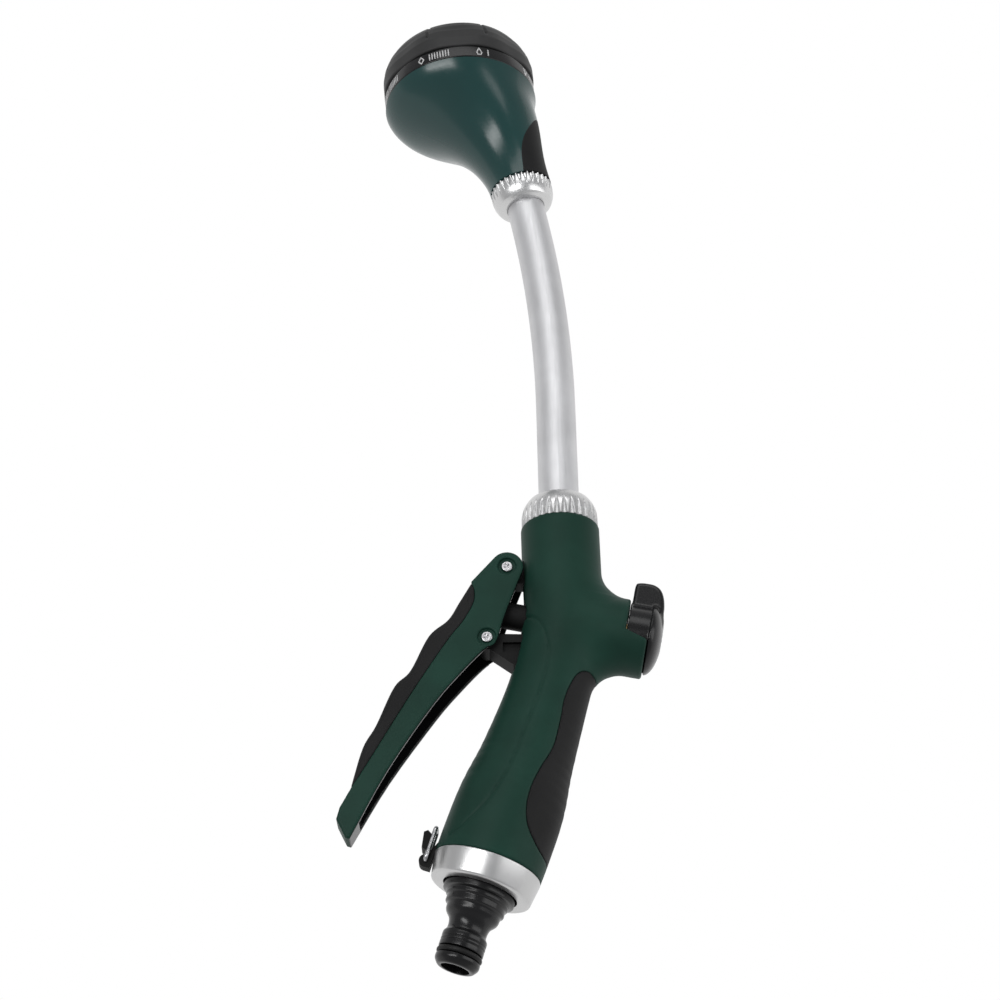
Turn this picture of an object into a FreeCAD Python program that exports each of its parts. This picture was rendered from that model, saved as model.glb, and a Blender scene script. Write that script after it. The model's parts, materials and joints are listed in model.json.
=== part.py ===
import FreeCAD, Part
import math
import os
import re

import Sketcher
from FreeCAD import Placement, Rotation, Vector

# Watering wand, laid on its side, in millimetres.
# Origin: the centre of the inlet nipple's open end.  +Y runs along the wand to the spray head,
# +X is the side of the flow knob, -X the side of the trigger, +Z is square to the plane of symmetry.
# "Inlet axis", "barrel axis", "valve axis", "neck axis" and "dial axis" all lie in the plane Z = 0.

doc = FreeCAD.newDocument("watering_wand")
sheet = doc.addObject("Spreadsheet::Sheet", "dims")

DIMENSIONS = {
    # driving layout: lengths along the axes and their directions, in degrees from +X
    "inlet_angle": 71.8, "nipple_len": 29.0, "collar_height": 9.3, "grip_len": 96.7, "barrel_len": 46.1,
    "valve_angle": -12.0, "valve_rise": 4.4, "boss_len": 32.6,
    "neck_angle": 100.5, "tube_straight": 56.0, "bend_radius": 522.0, "tube_top": 6.7,
    "head_height": 46.5, "head_lean": 25.8, "dial_angle": 94.8,
    # lance tube and its two union nuts
    "tube_od": 16.0, "tube_wall": 1.2, "tube_grip": 10.0,
    "lower_nut_rad": 15.0, "lower_nut_height": 12.8, "upper_nut_rad": 13.3, "upper_nut_height": 10.3,
    "lower_flutes": 28.0, "upper_flutes": 28.0, "flute_depth": 0.9,
    "lower_thread_rad": 12.0, "upper_thread_rad": 10.2, "lower_thread_len": 7.0, "upper_thread_len": 5.0,
    # handle
    "barrel_rad": 15.4, "grip_rad": 19.9, "wall": 2.6, "inlay_depth": 1.5, "boss_rad": 14.7,
    "boss_wall": 1.9, "notch_depth": 8.6, "notch_half_angle": 104.0,
    # inlet nipple and collar
    "nipple_bore": 10.5, "nipple_od": 16.4, "nipple_flange_rad": 13.3, "collar_opening_rad": 13.8,
    "collar_taper": 1.2, "nipple_ring_cord": 2.2,
    # trigger
    "pivot_x": -21.2, "pivot_rise": 25.7, "trigger_width": 19.0, "trigger_wall": 2.1, "pin_rad": 1.7,
    "pin_head_rad": 2.1, "counterbore_rad": 3.5, "tip_taper": 3.6, "bracket_half": 3.7, "lobe_rad": 6.3,
    "pad_wall": 2.0, "link_half": 5.0,
    # valve
    "stem_rad": 3.0, "plunger_rad": 5.2, "chamber_rad": 7.5, "valve_block_rad": 11.0, "pipe_rad": 7.6,
    "pipe_offset": 4.2, "squeeze": 11.0,
    # flow knob
    "hub_rad": 12.4, "knob_rad": 13.4, "knob_thick": 5.4, "paddle_width": 13.0, "paddle_reach": 21.4,
    # head
    "neck_rad": 13.4, "bell_rad": 33.5, "head_wall": 2.4, "label_rad": 33.3, "label_width": 6.0,
    "dial_rad": 34.2, "dial_thick": 23.2, "face_rise": 13.1, "face_rad": 27.5, "plate_rad": 28.5,
    "post_rad": 5.0, "dial_notches": 8.0, "port_ring_rad": 17.0, "detent_ring_rad": 22.8,
    # trigger lock
    "wire_dia": 1.6, "bail_width": 7.0, "bail_len": 12.8,
    # clearances
    "run_gap": 0.06, "static_gap": 0.05, "body_gap": 0.4,
}
for row, (alias, value) in enumerate(DIMENSIONS.items(), start=1):
    sheet.set("A%d" % row, alias)
    sheet.set("B%d" % row, str(value))
    sheet.setAlias("B%d" % row, alias)
doc.recompute()

NAMES = re.compile(r"\b(" + "|".join(DIMENSIONS) + r")\b")


def size(alias):
    """The sheet's value of one dimension."""
    return float(sheet.get(alias))


def bound(text):
    """An expression that reads its dimensions from the sheet."""
    return NAMES.sub(r"dims.\1", str(text))


def value_of(text):
    """The present value of an expression of dimensions."""
    return sheet.evalExpression(bound(text))


def direction(angle):
    return Vector(math.cos(math.radians(angle)), math.sin(math.radians(angle)), 0)


def axis_frame(point, angle):
    """A placement whose own Z runs along the angle in the plane Z = 0, and whose own Y is up."""
    along = direction(angle)
    up = Vector(0, 0, 1)
    return Placement(point, Rotation(up.cross(along), up, along, "ZXY"))


def along_frame(frame, distance, sideways=0.0):
    """The same frame moved along its own Z and its own X."""
    return frame.multiply(Placement(Vector(sideways, 0, distance), Rotation()))


# ---- the axes that every piece is placed by -------------------------------------------------------
INLET = axis_frame(Vector(0, 0, 0), size("inlet_angle"))
COLLAR_BASE = size("nipple_len")
COLLAR_TOP = COLLAR_BASE + size("collar_height")
KNEE = direction(size("inlet_angle")) * (COLLAR_TOP + size("grip_len"))
TOP = KNEE + Vector(0, size("barrel_len"), 0)
BARREL = axis_frame(TOP, 90)
VALVE = axis_frame(KNEE + Vector(0, size("valve_rise"), 0), size("valve_angle"))
PIVOT = KNEE + Vector(size("pivot_x"), size("pivot_rise"), 0)
UPRIGHT = Rotation()

# the lance leaves the barrel straight, bends over an arc and runs straight into the neck
BEND = math.radians(size("neck_angle") - 90)
BEND_START = TOP + Vector(0, size("tube_straight"), 0)
BEND_CENTRE = BEND_START - Vector(size("bend_radius"), 0, 0)
BEND_END = BEND_CENTRE + Vector(math.cos(BEND), math.sin(BEND), 0) * size("bend_radius")
NUT_BASE = BEND_END + direction(size("neck_angle")) * size("tube_top")
NECK_BASE = NUT_BASE + direction(size("neck_angle")) * size("upper_nut_height")
NECK = axis_frame(NECK_BASE, size("neck_angle"))
BELL_TOP = NECK_BASE + Vector(-size("head_lean"), size("head_height"), 0)
DIAL = axis_frame(BELL_TOP, size("dial_angle"))


# ---- ways of making a piece -----------------------------------------------------------------------
SUBPARTS = []


def finish(piece, label, placement=None):
    """Give a finished sub-part its label and its place."""
    piece.Label = label
    if placement is not None:
        piece.Placement = placement
    SUBPARTS.append(piece)
    return piece


def origin_plane(body, role):
    for feature in body.Origin.OriginFeatures:
        if feature.Role == role:
            return feature
    raise ValueError(role)


def add_outline(sketch, corners):
    """A closed outline of straight lines whose corners are bound to the sheet, as (across, up) texts."""
    points = [Vector(value_of(across), value_of(up), 0) for across, up in corners]
    count = len(points)
    for index in range(count):
        sketch.addGeometry(Part.LineSegment(points[index], points[(index + 1) % count]), False)
    for index in range(count):
        sketch.addConstraint(Sketcher.Constraint("Coincident", index, 2, (index + 1) % count, 1))
    for index, corner in enumerate(corners):
        for kind, line, text, value in (("DistanceX", -2, corner[0], points[index].x),
                                        ("DistanceY", -1, corner[1], points[index].y)):
            if abs(value) < 1e-9:
                sketch.addConstraint(Sketcher.Constraint("PointOnObject", index, 1, line))
                continue
            number = sketch.addConstraint(Sketcher.Constraint(kind, -1, 1, index, 1, value))
            sketch.setExpression("Constraints[%d]" % number, bound(text))


def turned(label, profile, placement):
    """A body turned about its own Z from a closed profile of (radius, height) texts."""
    body = doc.addObject("PartDesign::Body", label)
    sketch = body.newObject("Sketcher::SketchObject", label + "_profile")
    sketch.AttachmentSupport = [(origin_plane(body, "XZ_Plane"), "")]
    sketch.MapMode = "FlatFace"
    add_outline(sketch, profile)
    turn = body.newObject("PartDesign::Revolution", label + "_turn")
    turn.Profile = sketch
    turn.ReferenceAxis = (sketch, ["V_Axis"])
    turn.Angle = 360
    sketch.Visibility = False
    body.Placement = placement
    body.Label = label + "_body"
    return body


def cylinder(name, radius, height, placement):
    """A cylinder on its own Z, with its radius and height bound to the sheet."""
    solid = doc.addObject("Part::Cylinder", name)
    solid.setExpression("Radius", bound(radius))
    solid.setExpression("Height", bound(height))
    solid.Placement = placement
    return solid


def block(name, length, width, height, placement):
    """A box with its three sizes bound to the sheet."""
    solid = doc.addObject("Part::Box", name)
    solid.setExpression("Length", bound(length))
    solid.setExpression("Width", bound(width))
    solid.setExpression("Height", bound(height))
    solid.Placement = placement
    return solid


def torus(name, ring, cord, placement):
    solid = doc.addObject("Part::Torus", name)
    solid.setExpression("Radius1", bound(ring))
    solid.setExpression("Radius2", bound(cord))
    solid.Placement = placement
    return solid


def sphere(name, radius, placement):
    solid = doc.addObject("Part::Sphere", name)
    solid.setExpression("Radius", bound(radius))
    solid.Placement = placement
    return solid


def cut(name, base, tools):
    """The base with every tool taken away."""
    tool = tools[0] if len(tools) == 1 else fuse(name + "_tools", tools)
    result = doc.addObject("Part::Cut", name)
    result.Base = base
    result.Tool = tool
    return result


def fuse(name, shapes):
    result = doc.addObject("Part::MultiFuse", name)
    result.Shapes = shapes
    return result


def common(name, shapes):
    result = doc.addObject("Part::MultiCommon", name)
    result.Shapes = shapes
    return result


def feature(name, shape):
    """A shape made with Part's own functions, held as a document object."""
    solid = doc.addObject("Part::Feature", name)
    solid.Shape = shape
    return solid


def ring_wire(placement, across, upright):
    """An ellipse in the frame's own XY plane, or a circle when both radii are equal."""
    if abs(across - upright) < 1e-6:
        curve = Part.Circle(Vector(0, 0, 0), Vector(0, 0, 1), across)
    elif across > upright:
        curve = Part.Ellipse(Vector(across, 0, 0), Vector(0, upright, 0), Vector(0, 0, 0))
    else:
        curve = Part.Ellipse(Vector(0, upright, 0), Vector(-across, 0, 0), Vector(0, 0, 0))
    wire = Part.Wire(curve.toShape())
    wire.Placement = placement
    return wire


def lofted(name, sections):
    """A smooth solid through (placement, radius in the plane, radius upright) sections."""
    wires = [ring_wire(*section) for section in sections]
    return feature(name, Part.makeLoft(wires, True, False))


def flat_solid(points, low, high):
    """A closed outline in the plane Z = 0, raised from low to high."""
    wire = Part.Wire(points)
    face = Part.Face(wire)
    face.translate(Vector(0, 0, low))
    return face.extrude(Vector(0, 0, high - low))


def smooth_edge(points):
    """One smooth edge through a few points."""
    curve = Part.BSplineCurve()
    curve.interpolate(points)
    return curve.toShape()


def straight_edge(start, end):
    return Part.LineSegment(start, end).toShape()


# ---- handle outside -------------------------------------------------------------------------------
def handle_sections(inset):
    """Round sections from the collar up the grip and the barrel, each smaller by inset."""
    grip = size("grip_rad")
    barrel = size("barrel_rad")
    swell = grip + 0.2
    middle = (grip + barrel) / 2
    below = [(0.0, 0.0, grip), (0.096, 0.3, swell), (0.26, 0.9, 0.85 * swell + 0.15 * middle + 0.1),
             (0.435, 1.3, middle), (0.686, 1.5, barrel + 0.4), (0.872, 0.7, barrel)]
    sections = []
    for share, lean, radius in below:
        angle = size("inlet_angle") + (90 - size("inlet_angle")) * max(0.0, share - 0.5)
        point = direction(size("inlet_angle")) * (COLLAR_TOP + share * size("grip_len"))
        frame = axis_frame(point + Vector(lean, 0, 0), angle)
        sections.append((frame, radius - inset, radius - inset))
    for drop, angle in ((0.82, 87), (0.43, 90), (0.0, 90)):
        point = TOP - Vector(-0.3 * drop, drop * size("barrel_len"), 0)
        sections.append((axis_frame(point, angle), barrel - inset, barrel - inset))
    return sections


def boss_sections():
    """Oval sections of the rear boss, flaring up and down the barrel as they near it."""
    radius = size("boss_rad")
    rows = [(0, -0.7, 0.6), (7.6, -0.7, 0.8), (11.6, -0.2, 2.5), (15.6, 1.8, 6.8), (19.1, 5.8, 12.8),
            (23.1, 12.3, 18.3), (26.6, 15.3, 19.3)]
    return [(along_frame(VALVE, size("boss_len") - back, (above - below) / 2),
             radius + (above + below) / 2, radius)
            for back, above, below in rows]


def make_handle_shell():
    """Hollow green moulding: barrel, grip and rear boss, with openings for the parts that pass through."""
    outer = fuse("handle_outer", [lofted("barrel_outer", handle_sections(0)),
                                  lofted("boss_outer", boss_sections())])
    inner = lofted("barrel_inner", handle_sections(size("wall")))
    top_plate = cylinder("handle_top_keep", "barrel_rad", "wall", along_frame(BARREL, -size("wall")))
    inner = cut("handle_hollow", inner, [top_plate])
    boss_bore = cylinder("boss_bore", "boss_rad - boss_wall", "notch_depth + 1",
                         along_frame(VALVE, size("boss_len") - size("notch_depth")))
    valve_way = cylinder("valve_way", "valve_block_rad + body_gap", "boss_len", VALVE)
    notch = boss_notch()
    outlet = cylinder("outlet_hole", "lower_thread_rad + static_gap", "3 * wall",
                      along_frame(BARREL, -2 * size("wall")))
    plunger = cylinder("plunger_hole", "plunger_rad + body_gap", "30", along_frame(VALVE, -30))
    ears = bracket_block("bracket_hole", size("body_gap") / 2, 0)
    pocket = link_pocket("shell_pocket")
    shell = cut("handle_cut", outer, [inner, boss_bore, valve_way, notch, outlet, plunger, ears, pocket,
                                      inlay_region("inlay_recess", 0)])
    return finish(shell, "handle_shell")


def boss_notch():
    """The upper part of the boss wall cut back, so that the knob's paddle can swing."""
    depth = size("notch_depth")
    reach = size("boss_rad") + 12
    half = math.radians(size("notch_half_angle"))
    centre = Vector(0, 0, 0)
    corners = [Vector(reach * math.cos(turn * half), reach * math.sin(turn * half), 0)
               for turn in (-1, -0.5, 0, 0.5, 1)]
    edges = [straight_edge(centre, corners[0])]
    edges += [straight_edge(corners[i], corners[i + 1]) for i in range(4)]
    edges.append(straight_edge(corners[4], centre))
    face = Part.Face(Part.Wire(edges))
    solid = face.extrude(Vector(0, 0, depth + 2))
    notch = feature("boss_notch", solid)
    notch.Placement = along_frame(VALVE, size("boss_len") - depth)
    return notch


def on_grip(share, across, up=0):
    """A point beside the inlet axis: share of the grip's length from the collar, and a distance across."""
    along = direction(size("inlet_angle"))
    return along * (COLLAR_TOP + share * size("grip_len")) + Vector(along.y, -along.x,
                                                                    0) * across + Vector(0, 0, up)


def inlay_region(name, inset):
    """The outer skin of the grip's back, inside the inlay's curved border."""
    border = smooth_edge([on_grip(0.821, 20.2), on_grip(0.842, 16.4), on_grip(0.837, 12.8),
                          on_grip(0.793, 10.1),
                          on_grip(0.694, 8.9), on_grip(0.593, 9.9), on_grip(0.480, 10.4), on_grip(0.374,
                                                                                                  8.5),
                          on_grip(0.279, 7.6), on_grip(0.200, 8.4), on_grip(0.140, 10.9), on_grip(0.091,
                                                                                                  15.7),
                          on_grip(0.070, 19.9), on_grip(0.060, 24.0)])
    start = border.Vertexes[0].Point
    end = border.Vertexes[-1].Point
    corner_low = on_grip(0.03, 45.0)
    corner_high = on_grip(0.70, 45.0)
    outline = [border, straight_edge(end, corner_low), straight_edge(corner_low, corner_high),
               straight_edge(corner_high, start)]
    prism = feature(name + "_prism", flat_solid(outline, -30, 30))
    skin = lofted(name + "_skin", handle_sections(inset))
    core = lofted(name + "_core", handle_sections(size("inlay_depth")))
    keep_boss = cylinder(name + "_boss", "boss_rad + 1.2", "boss_len", VALVE)
    ring = cut(name + "_ring", skin, [core])
    return cut(name, common(name + "_part", [ring, prism]), [keep_boss])


def make_grip_inlay():
    return finish(inlay_region("grip_inlay_skin", 0), "grip_inlay")


# ---- trigger side openings and bracket ------------------------------------------------------------
def bracket_block(name, gap, reach):
    """The block that carries the trigger's pivot: a round nose on the pivot and a straight root."""
    half_width = size("bracket_half") + gap
    nose = 4.7 + gap
    root = KNEE.x - 8 - reach
    low = Vector(PIVOT.x, PIVOT.y - nose, 0)
    high = Vector(PIVOT.x, PIVOT.y + nose, 0)
    tip = Vector(PIVOT.x - nose, PIVOT.y, 0)
    edges = [Part.Arc(high, tip, low).toShape(), straight_edge(low, Vector(root, low.y, 0)),
             straight_edge(Vector(root, low.y, 0), Vector(root, high.y, 0)),
             straight_edge(Vector(root, high.y, 0), high)]
    return feature(name, flat_solid(edges, -half_width, half_width))


LINK_PIN = PIVOT + Vector(-8.1, -29.7, 0)


def link_outline(nose, above, below, reach):
    """The link arm: round on the lower pin, opening into a deep web that ends inside the handle's wall."""
    top_left = LINK_PIN + Vector(1.0, nose, 0)
    top_right = LINK_PIN + Vector(15.6 + reach, 2.7 + above, 0)
    low_right = LINK_PIN + Vector(15.6 + reach, -11.0 - below, 0)
    low_mid = LINK_PIN + Vector(9.9, -9.8 - below, 0)
    low_left = LINK_PIN + Vector(1.0, -nose - below / 2, 0)
    left = LINK_PIN + Vector(-nose, 0, 0)
    return [Part.Arc(low_left, left, top_left).toShape(), straight_edge(top_left, top_right),
            straight_edge(top_right, low_right), straight_edge(low_right, low_mid),
            straight_edge(low_mid, low_left)]


def link_pocket(name):
    """The pocket that the link arm slides into; the arm also sinks a little as the trigger turns."""
    swing = math.radians(size("squeeze"))
    arm = LINK_PIN - PIVOT
    slide = arm.x * (math.cos(swing) - 1) - arm.y * math.sin(swing)
    sink = -(arm.x * math.sin(swing) + arm.y * (math.cos(swing) - 1))
    gap = size("body_gap")
    outline = link_outline(3.2 + gap, gap, sink + gap, slide + gap)
    return feature(name, flat_solid(outline, -size("link_half") - gap, size("link_half") + gap))


def make_link_arm():
    plate = feature("link_plate", flat_solid(link_outline(3.2, 0, 0, 0), -size("link_half"),
                                             size("link_half")))
    hole = cylinder("link_hole", "pin_rad + run_gap", "20", Placement(LINK_PIN - Vector(0, 0, 10), UPRIGHT))
    front = LINK_PIN + Vector(9.0, -2.5, 0)
    sides = [block("link_recess_%d" % side, "7", "4", "3", Placement(front + Vector(-3, -2.0, offset),
                                                                     UPRIGHT))
             for side, offset in ((0, 3.2), (1, -6.2))]
    return finish(cut("link_cut", plate, [hole] + sides), "link_arm")


# ---- valve ----------------------------------------------------------------------------------------


def make_valve_body():
    """Black core: outlet spigot, cross bore for the valve, inlet pipe and the trigger bracket."""
    spigot = cylinder("core_spigot", "lower_thread_rad", "lower_thread_len + 12", along_frame(BARREL, -12))
    riser = cylinder("core_riser", "9.5", "barrel_len - 12", along_frame(BARREL, -size("barrel_len") + 4))
    cross = cylinder("core_cross", "valve_block_rad", "27.8", along_frame(VALVE, -6.0))
    snout = cylinder("core_snout", "7.4", "8", along_frame(VALVE, -10.2))
    pipe = cylinder("core_pipe", "pipe_rad", "grip_len - 4", along_frame(INLET, COLLAR_TOP + 3.0,
                                                                         -size("pipe_offset")))
    socket = cylinder("core_socket", "13.0", "12", along_frame(INLET, COLLAR_TOP + 1.0))
    solid = fuse("core_solid", [spigot, riser, cross, snout, pipe, socket, bracket_block("bracket", 0, 0)])
    tube_seat = cylinder("tube_seat", "tube_od / 2 + static_gap", "lower_thread_len + tube_grip + 0.5",
                         along_frame(BARREL, -size("tube_grip") - 0.5))
    outlet = cylinder("core_outlet", "5", "14", along_frame(BARREL, -24))
    duct = cylinder("core_duct", "3.4", "22", along_frame(BARREL, -size("barrel_len") + 6.0, 3.6))
    front = cylinder("front_bore", "6.0 + static_gap", "6", along_frame(VALVE, -13.0))
    seal_seat = cylinder("seal_seat", "5.1", "2.4", along_frame(VALVE, -7.0))
    stem_way = cylinder("stem_way", "stem_rad + 0.3", "3", along_frame(VALVE, -5.0))
    neck = cylinder("neck_bore", "5.0", "5", along_frame(VALVE, -3.4))
    chamber = cylinder("chamber", "chamber_rad", "30", along_frame(VALVE, 0))
    supply = cylinder("supply", "4.4", "grip_len - 3", along_frame(INLET, COLLAR_TOP + 2.0,
                                                                   -size("pipe_offset")))
    nipple_seat = cylinder("nipple_seat", "9.0 + static_gap", "13", along_frame(INLET, COLLAR_TOP + 0.9))
    pin = cylinder("bracket_pin_hole", "pin_rad + static_gap", "30",
                   Placement(PIVOT - Vector(0, 0, 15), UPRIGHT))
    tools = [tube_seat, outlet, duct, front, seal_seat, stem_way, neck, chamber, supply, nipple_seat, pin,
             link_pocket("core_pocket")]
    return finish(cut("core_cut", solid, tools), "valve_body")


def make_valve_parts():
    """The stem, its gland and seals, the valve disc and the return spring."""
    gland = turned("stem_gland", [("stem_rad + run_gap", "0"), ("6.0", "0"), ("6.0", "2.1"),
                                  ("stem_rad + run_gap", "2.1")], along_frame(VALVE, -9.1))
    finish(gland, "stem_gland")
    ring = torus("stem_ring", "4.08", "1.0", along_frame(VALVE, -5.8))
    finish(ring, "stem_o_ring")
    stem = turned("valve_stem", [("0", "0"), ("stem_rad", "0"), ("stem_rad", "30.6"), ("5.4", "30.6"),
                                 ("5.4", "32.1"), ("2.0", "32.1"), ("2.0", "37.0"), ("0", "37.0")],
                  along_frame(VALVE, -27.6))
    finish(stem, "valve_stem")
    disc = turned("valve_disc", [("stem_rad + static_gap", "0"), ("6.8", "0"), ("6.8", "2.4"),
                                 ("stem_rad + static_gap", "2.4")], along_frame(VALVE, 0.3))
    finish(disc, "valve_disc")
    cap = turned("plunger_cap", [("0", "0"), ("plunger_rad - 0.8", "0"), ("plunger_rad", "0.8"),
                                 ("plunger_rad", "18.0"), ("stem_rad + static_gap", "18.0"),
                                 ("stem_rad + static_gap", "4.4"), ("0", "4.4")], along_frame(VALVE, -32.1))
    finish(cap, "plunger_cap")
    finish(make_spring("valve_spring_coil", 4.0, 0.45, 4.8, 14.2, 5), "valve_spring")


def make_spring(name, radius, wire, start, end, turns):
    """A closed compression spring swept along a helix on the valve axis."""
    pitch = (end - start - 2 * wire) / turns
    helix = Part.makeHelix(pitch, pitch * turns, radius)
    section = Part.Wire(Part.Circle(Vector(radius, 0, 0), Vector(0, 1, 0), wire).toShape())
    coil = Part.Wire(helix).makePipeShell([section], True, True)
    solid = feature(name, coil)
    solid.Placement = along_frame(VALVE, start + wire)
    return solid


# ---- trigger --------------------------------------------------------------------------------------
def at_pivot(x, y):
    return PIVOT + Vector(x, y, 0)


PAD_BORDER = [(-13.9, -6.3), (-12.6, -10.2), (-13.1, -15.5), (-17.1, -23.1), (-23.3, -31.5), (-36.3, -52.2),
              (-51.7, -79.5), (-59.7, -91.2)]
PAD_OUTER = [(-18.6, -14.5), (-22.9, -21.8), (-30.2, -28.5), (-37.1, -42.7), (-43.1, -49.2), (-49.7, -64.3),
             (-54.5, -73.9), (-58.8, -85.5)]
TRIGGER_INNER = [(5.5, 1.7), (3.3, -8.8), (-1.2, -20.8), (-4.0, -30.2)]
TRIGGER_LOWER = [(-9.5, -35.2), (-17.2, -43.4), (-27.9, -56.5), (-45.0, -82.0), (-58.9, -110.2)]
TIP = (-63.7, -101.6)


def trigger_green():
    """Side outline of the green lever: top lobe, inner edge, lower lobe, long tail and pad border."""
    lobe = size("lobe_rad")
    lobe_start = at_pivot(-lobe * 0.75, lobe * 0.66)
    lobe_end = at_pivot(lobe * 0.97, -lobe * 0.25)
    inner = [lobe_end] + [at_pivot(x, y) for x, y in TRIGGER_INNER[1:]]
    lower = [at_pivot(-5.6, -32.3)] + [at_pivot(x, y) for x, y in TRIGGER_LOWER]
    border = [at_pivot(x, y) for x, y in PAD_BORDER]
    edges = [Part.Arc(lobe_start, at_pivot(lobe * 0.66, lobe * 0.75), lobe_end).toShape(),
             smooth_edge(inner), straight_edge(inner[-1], lower[0]), smooth_edge(lower),
             straight_edge(lower[-1], at_pivot(*TIP)), straight_edge(at_pivot(*TIP), border[-1]),
             smooth_edge(border[::-1]), straight_edge(border[0], lobe_start)]
    return edges


def trigger_channel():
    """The hollow between the side walls, open on the inner side and closed under the pad."""
    wall = size("pad_wall")
    shift = Vector(wall * 0.87, -wall * 0.5, 0)
    border = [at_pivot(x, y) + shift for x, y in PAD_BORDER[1:]]
    top = at_pivot(-9.3, 3.0)
    far = [at_pivot(-54.0, -108.0), at_pivot(10.0, -60.0), at_pivot(16.0, 4.0), at_pivot(4.0, 14.0),
           at_pivot(-6.0, 10.5)]
    edges = [smooth_edge([top, at_pivot(-10.8, -4.8)] + border)]
    path = [border[-1]] + far + [top]
    edges += [straight_edge(path[i], path[i + 1]) for i in range(len(path) - 1)]
    half = size("trigger_width") / 2 - size("trigger_wall")
    return feature("trigger_channel", flat_solid(edges, -half, half))


def tip_wedge(name, side):
    """What is planed off one side of the lever and its pad, so that they narrow towards the tip."""
    half = size("trigger_width") / 2
    start = at_pivot(-32.2, -53.0)
    end = at_pivot(-70.0, -115.0)
    across = Vector(60, -36, 0)
    corners = [start + Vector(0, 0, side * half), end + Vector(0, 0, side * (half - size("tip_taper"))),
               end + Vector(0, 0, side * (half + 2)), start + Vector(0, 0, side * (half + 2))]
    edges = [straight_edge(corners[i] - across, corners[(i + 1) % 4] - across) for i in range(4)]
    label = "%s_%s" % (name, "near" if side > 0 else "far")
    return feature(label, Part.Face(Part.Wire(edges)).extrude(across * 2))


def make_trigger():
    half = size("trigger_width") / 2
    lever = feature("trigger_solid", flat_solid(trigger_green(), -half, half))
    tools = [trigger_channel()]
    for name, point in (("upper", PIVOT), ("lower", LINK_PIN)):
        tools.append(cylinder(name + "_pin_hole", "pin_rad + run_gap", "40",
                              Placement(point - Vector(0, 0, 20), UPRIGHT)))
        for side in (-1, 1):
            face = Vector(0, 0, side * half if side < 0 else half - 1.0)
            tools.append(cylinder("%s_counterbore_%s" % (name, "near" if side > 0 else "far"),
                                  "counterbore_rad", "1.0", Placement(point + face, UPRIGHT)))
    tools += [tip_wedge("lever_wedge", side) for side in (-1, 1)]
    finish(cut("trigger_cut", lever, tools), "trigger_lever")


def make_trigger_pad():
    """The ribbed rubber pad along the outer side of the lever."""
    half = size("trigger_width") / 2
    border = [at_pivot(x, y) for x, y in PAD_BORDER]
    outer = [at_pivot(x, y) for x, y in PAD_OUTER]
    edges = [smooth_edge([border[0]] + outer + [border[-1]]), smooth_edge(border[::-1])]
    pad = feature("pad_solid", flat_solid(edges, -half, half))
    clips = [feature("pad_clip", flat_solid(trigger_green(), -half, half))]
    clips += [tip_wedge("pad_wedge", side) for side in (-1, 1)]
    finish(cut("pad_cut", pad, clips), "trigger_pad")


def make_pin(label, point):
    """A headed pin through both side walls, with a cap of the same size on its far end."""
    half = "trigger_width / 2"
    finish(turned(label, [("0", "-(%s) + 0.2" % half), ("pin_head_rad", "-(%s) + 0.2" % half),
                          ("pin_head_rad", "-(%s) + 0.94" % half), ("pin_rad", "-(%s) + 0.94" % half),
                          ("pin_rad", "%s - 0.94" % half), ("pin_head_rad", "%s - 0.94" % half),
                          ("pin_head_rad", "%s - 0.2" % half), ("0", "%s - 0.2" % half)],
                  Placement(point, UPRIGHT)), label)


# ---- flow knob ------------------------------------------------------------------------------------
def make_flow_control():
    """The knob with its paddle, the spindle in the valve chamber, its seal, nut and screw."""
    base = along_frame(VALVE, size("boss_len"))
    disc = turned("knob_disc", [("5.0 + static_gap", "-notch_depth + 0.5"), ("hub_rad",
                                                                             "-notch_depth + 0.5"),
                                ("hub_rad", "0.3"), ("knob_rad", "0.3"), ("knob_rad", "1.8"),
                                ("knob_rad - 1.0", "3.5"), ("knob_rad - 3.4", "4.8"),
                                ("knob_rad - 6.4", "knob_thick"), ("3.2", "knob_thick"),
                                ("3.2", "1.7"), ("5.0 + static_gap", "1.7")], base)
    half = size("paddle_width") / 2
    reach = size("paddle_reach")
    low = -size("notch_depth") + 0.5
    corners = [(9, low), (reach - 1.6, low), (reach - 0.8, low + 0.8), (reach, -0.6), (reach - 2.2, 2.4),
               (reach - 6.6, 4.2), (9, 4.7), (9, low)]
    edges = [straight_edge(Vector(x, 0, z), Vector(next_x, 0, next_z))
             for (x, z), (next_x, next_z) in zip(corners, corners[1:])]
    face = Part.Face(Part.Wire(edges))
    face.translate(Vector(0, -half, 0))
    paddle = feature("knob_paddle", face.extrude(Vector(0, 2 * half, 0)))
    paddle.Placement = base
    finish(fuse("knob_fuse", [disc, paddle]), "flow_knob")
    spindle = turned("flow_spindle", [("0", "15.0"), ("chamber_rad - run_gap", "15.0"),
                                      ("chamber_rad - run_gap", "19.4"), ("5.0", "19.4"),
                                      ("5.0", "boss_len + 1.6"), ("1.65", "boss_len + 1.6"),
                                      ("1.65", "boss_len - 6.0"), ("0", "boss_len - 6.0")], VALVE)
    finish(spindle, "flow_spindle")
    ring = torus("spindle_ring", "6.18", "1.1", along_frame(VALVE, 20.7))
    finish(ring, "spindle_o_ring")
    nut = turned("spindle_nut", [("5.0 + run_gap", "22.0"), ("valve_block_rad", "22.0"),
                                 ("valve_block_rad", "23.6"), ("5.0 + run_gap", "23.6")], VALVE)
    finish(nut, "spindle_nut")
    screw = turned("knob_screw", [("0", "boss_len - 5.0"), ("1.6", "boss_len - 5.0"),
                                  ("1.6", "boss_len + 1.7"),
                                  ("3.1", "boss_len + 1.7"),
                                  ("3.1", "boss_len + 4.2"), ("0", "boss_len + 4.2")], VALVE)
    finish(screw, "knob_screw")


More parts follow.
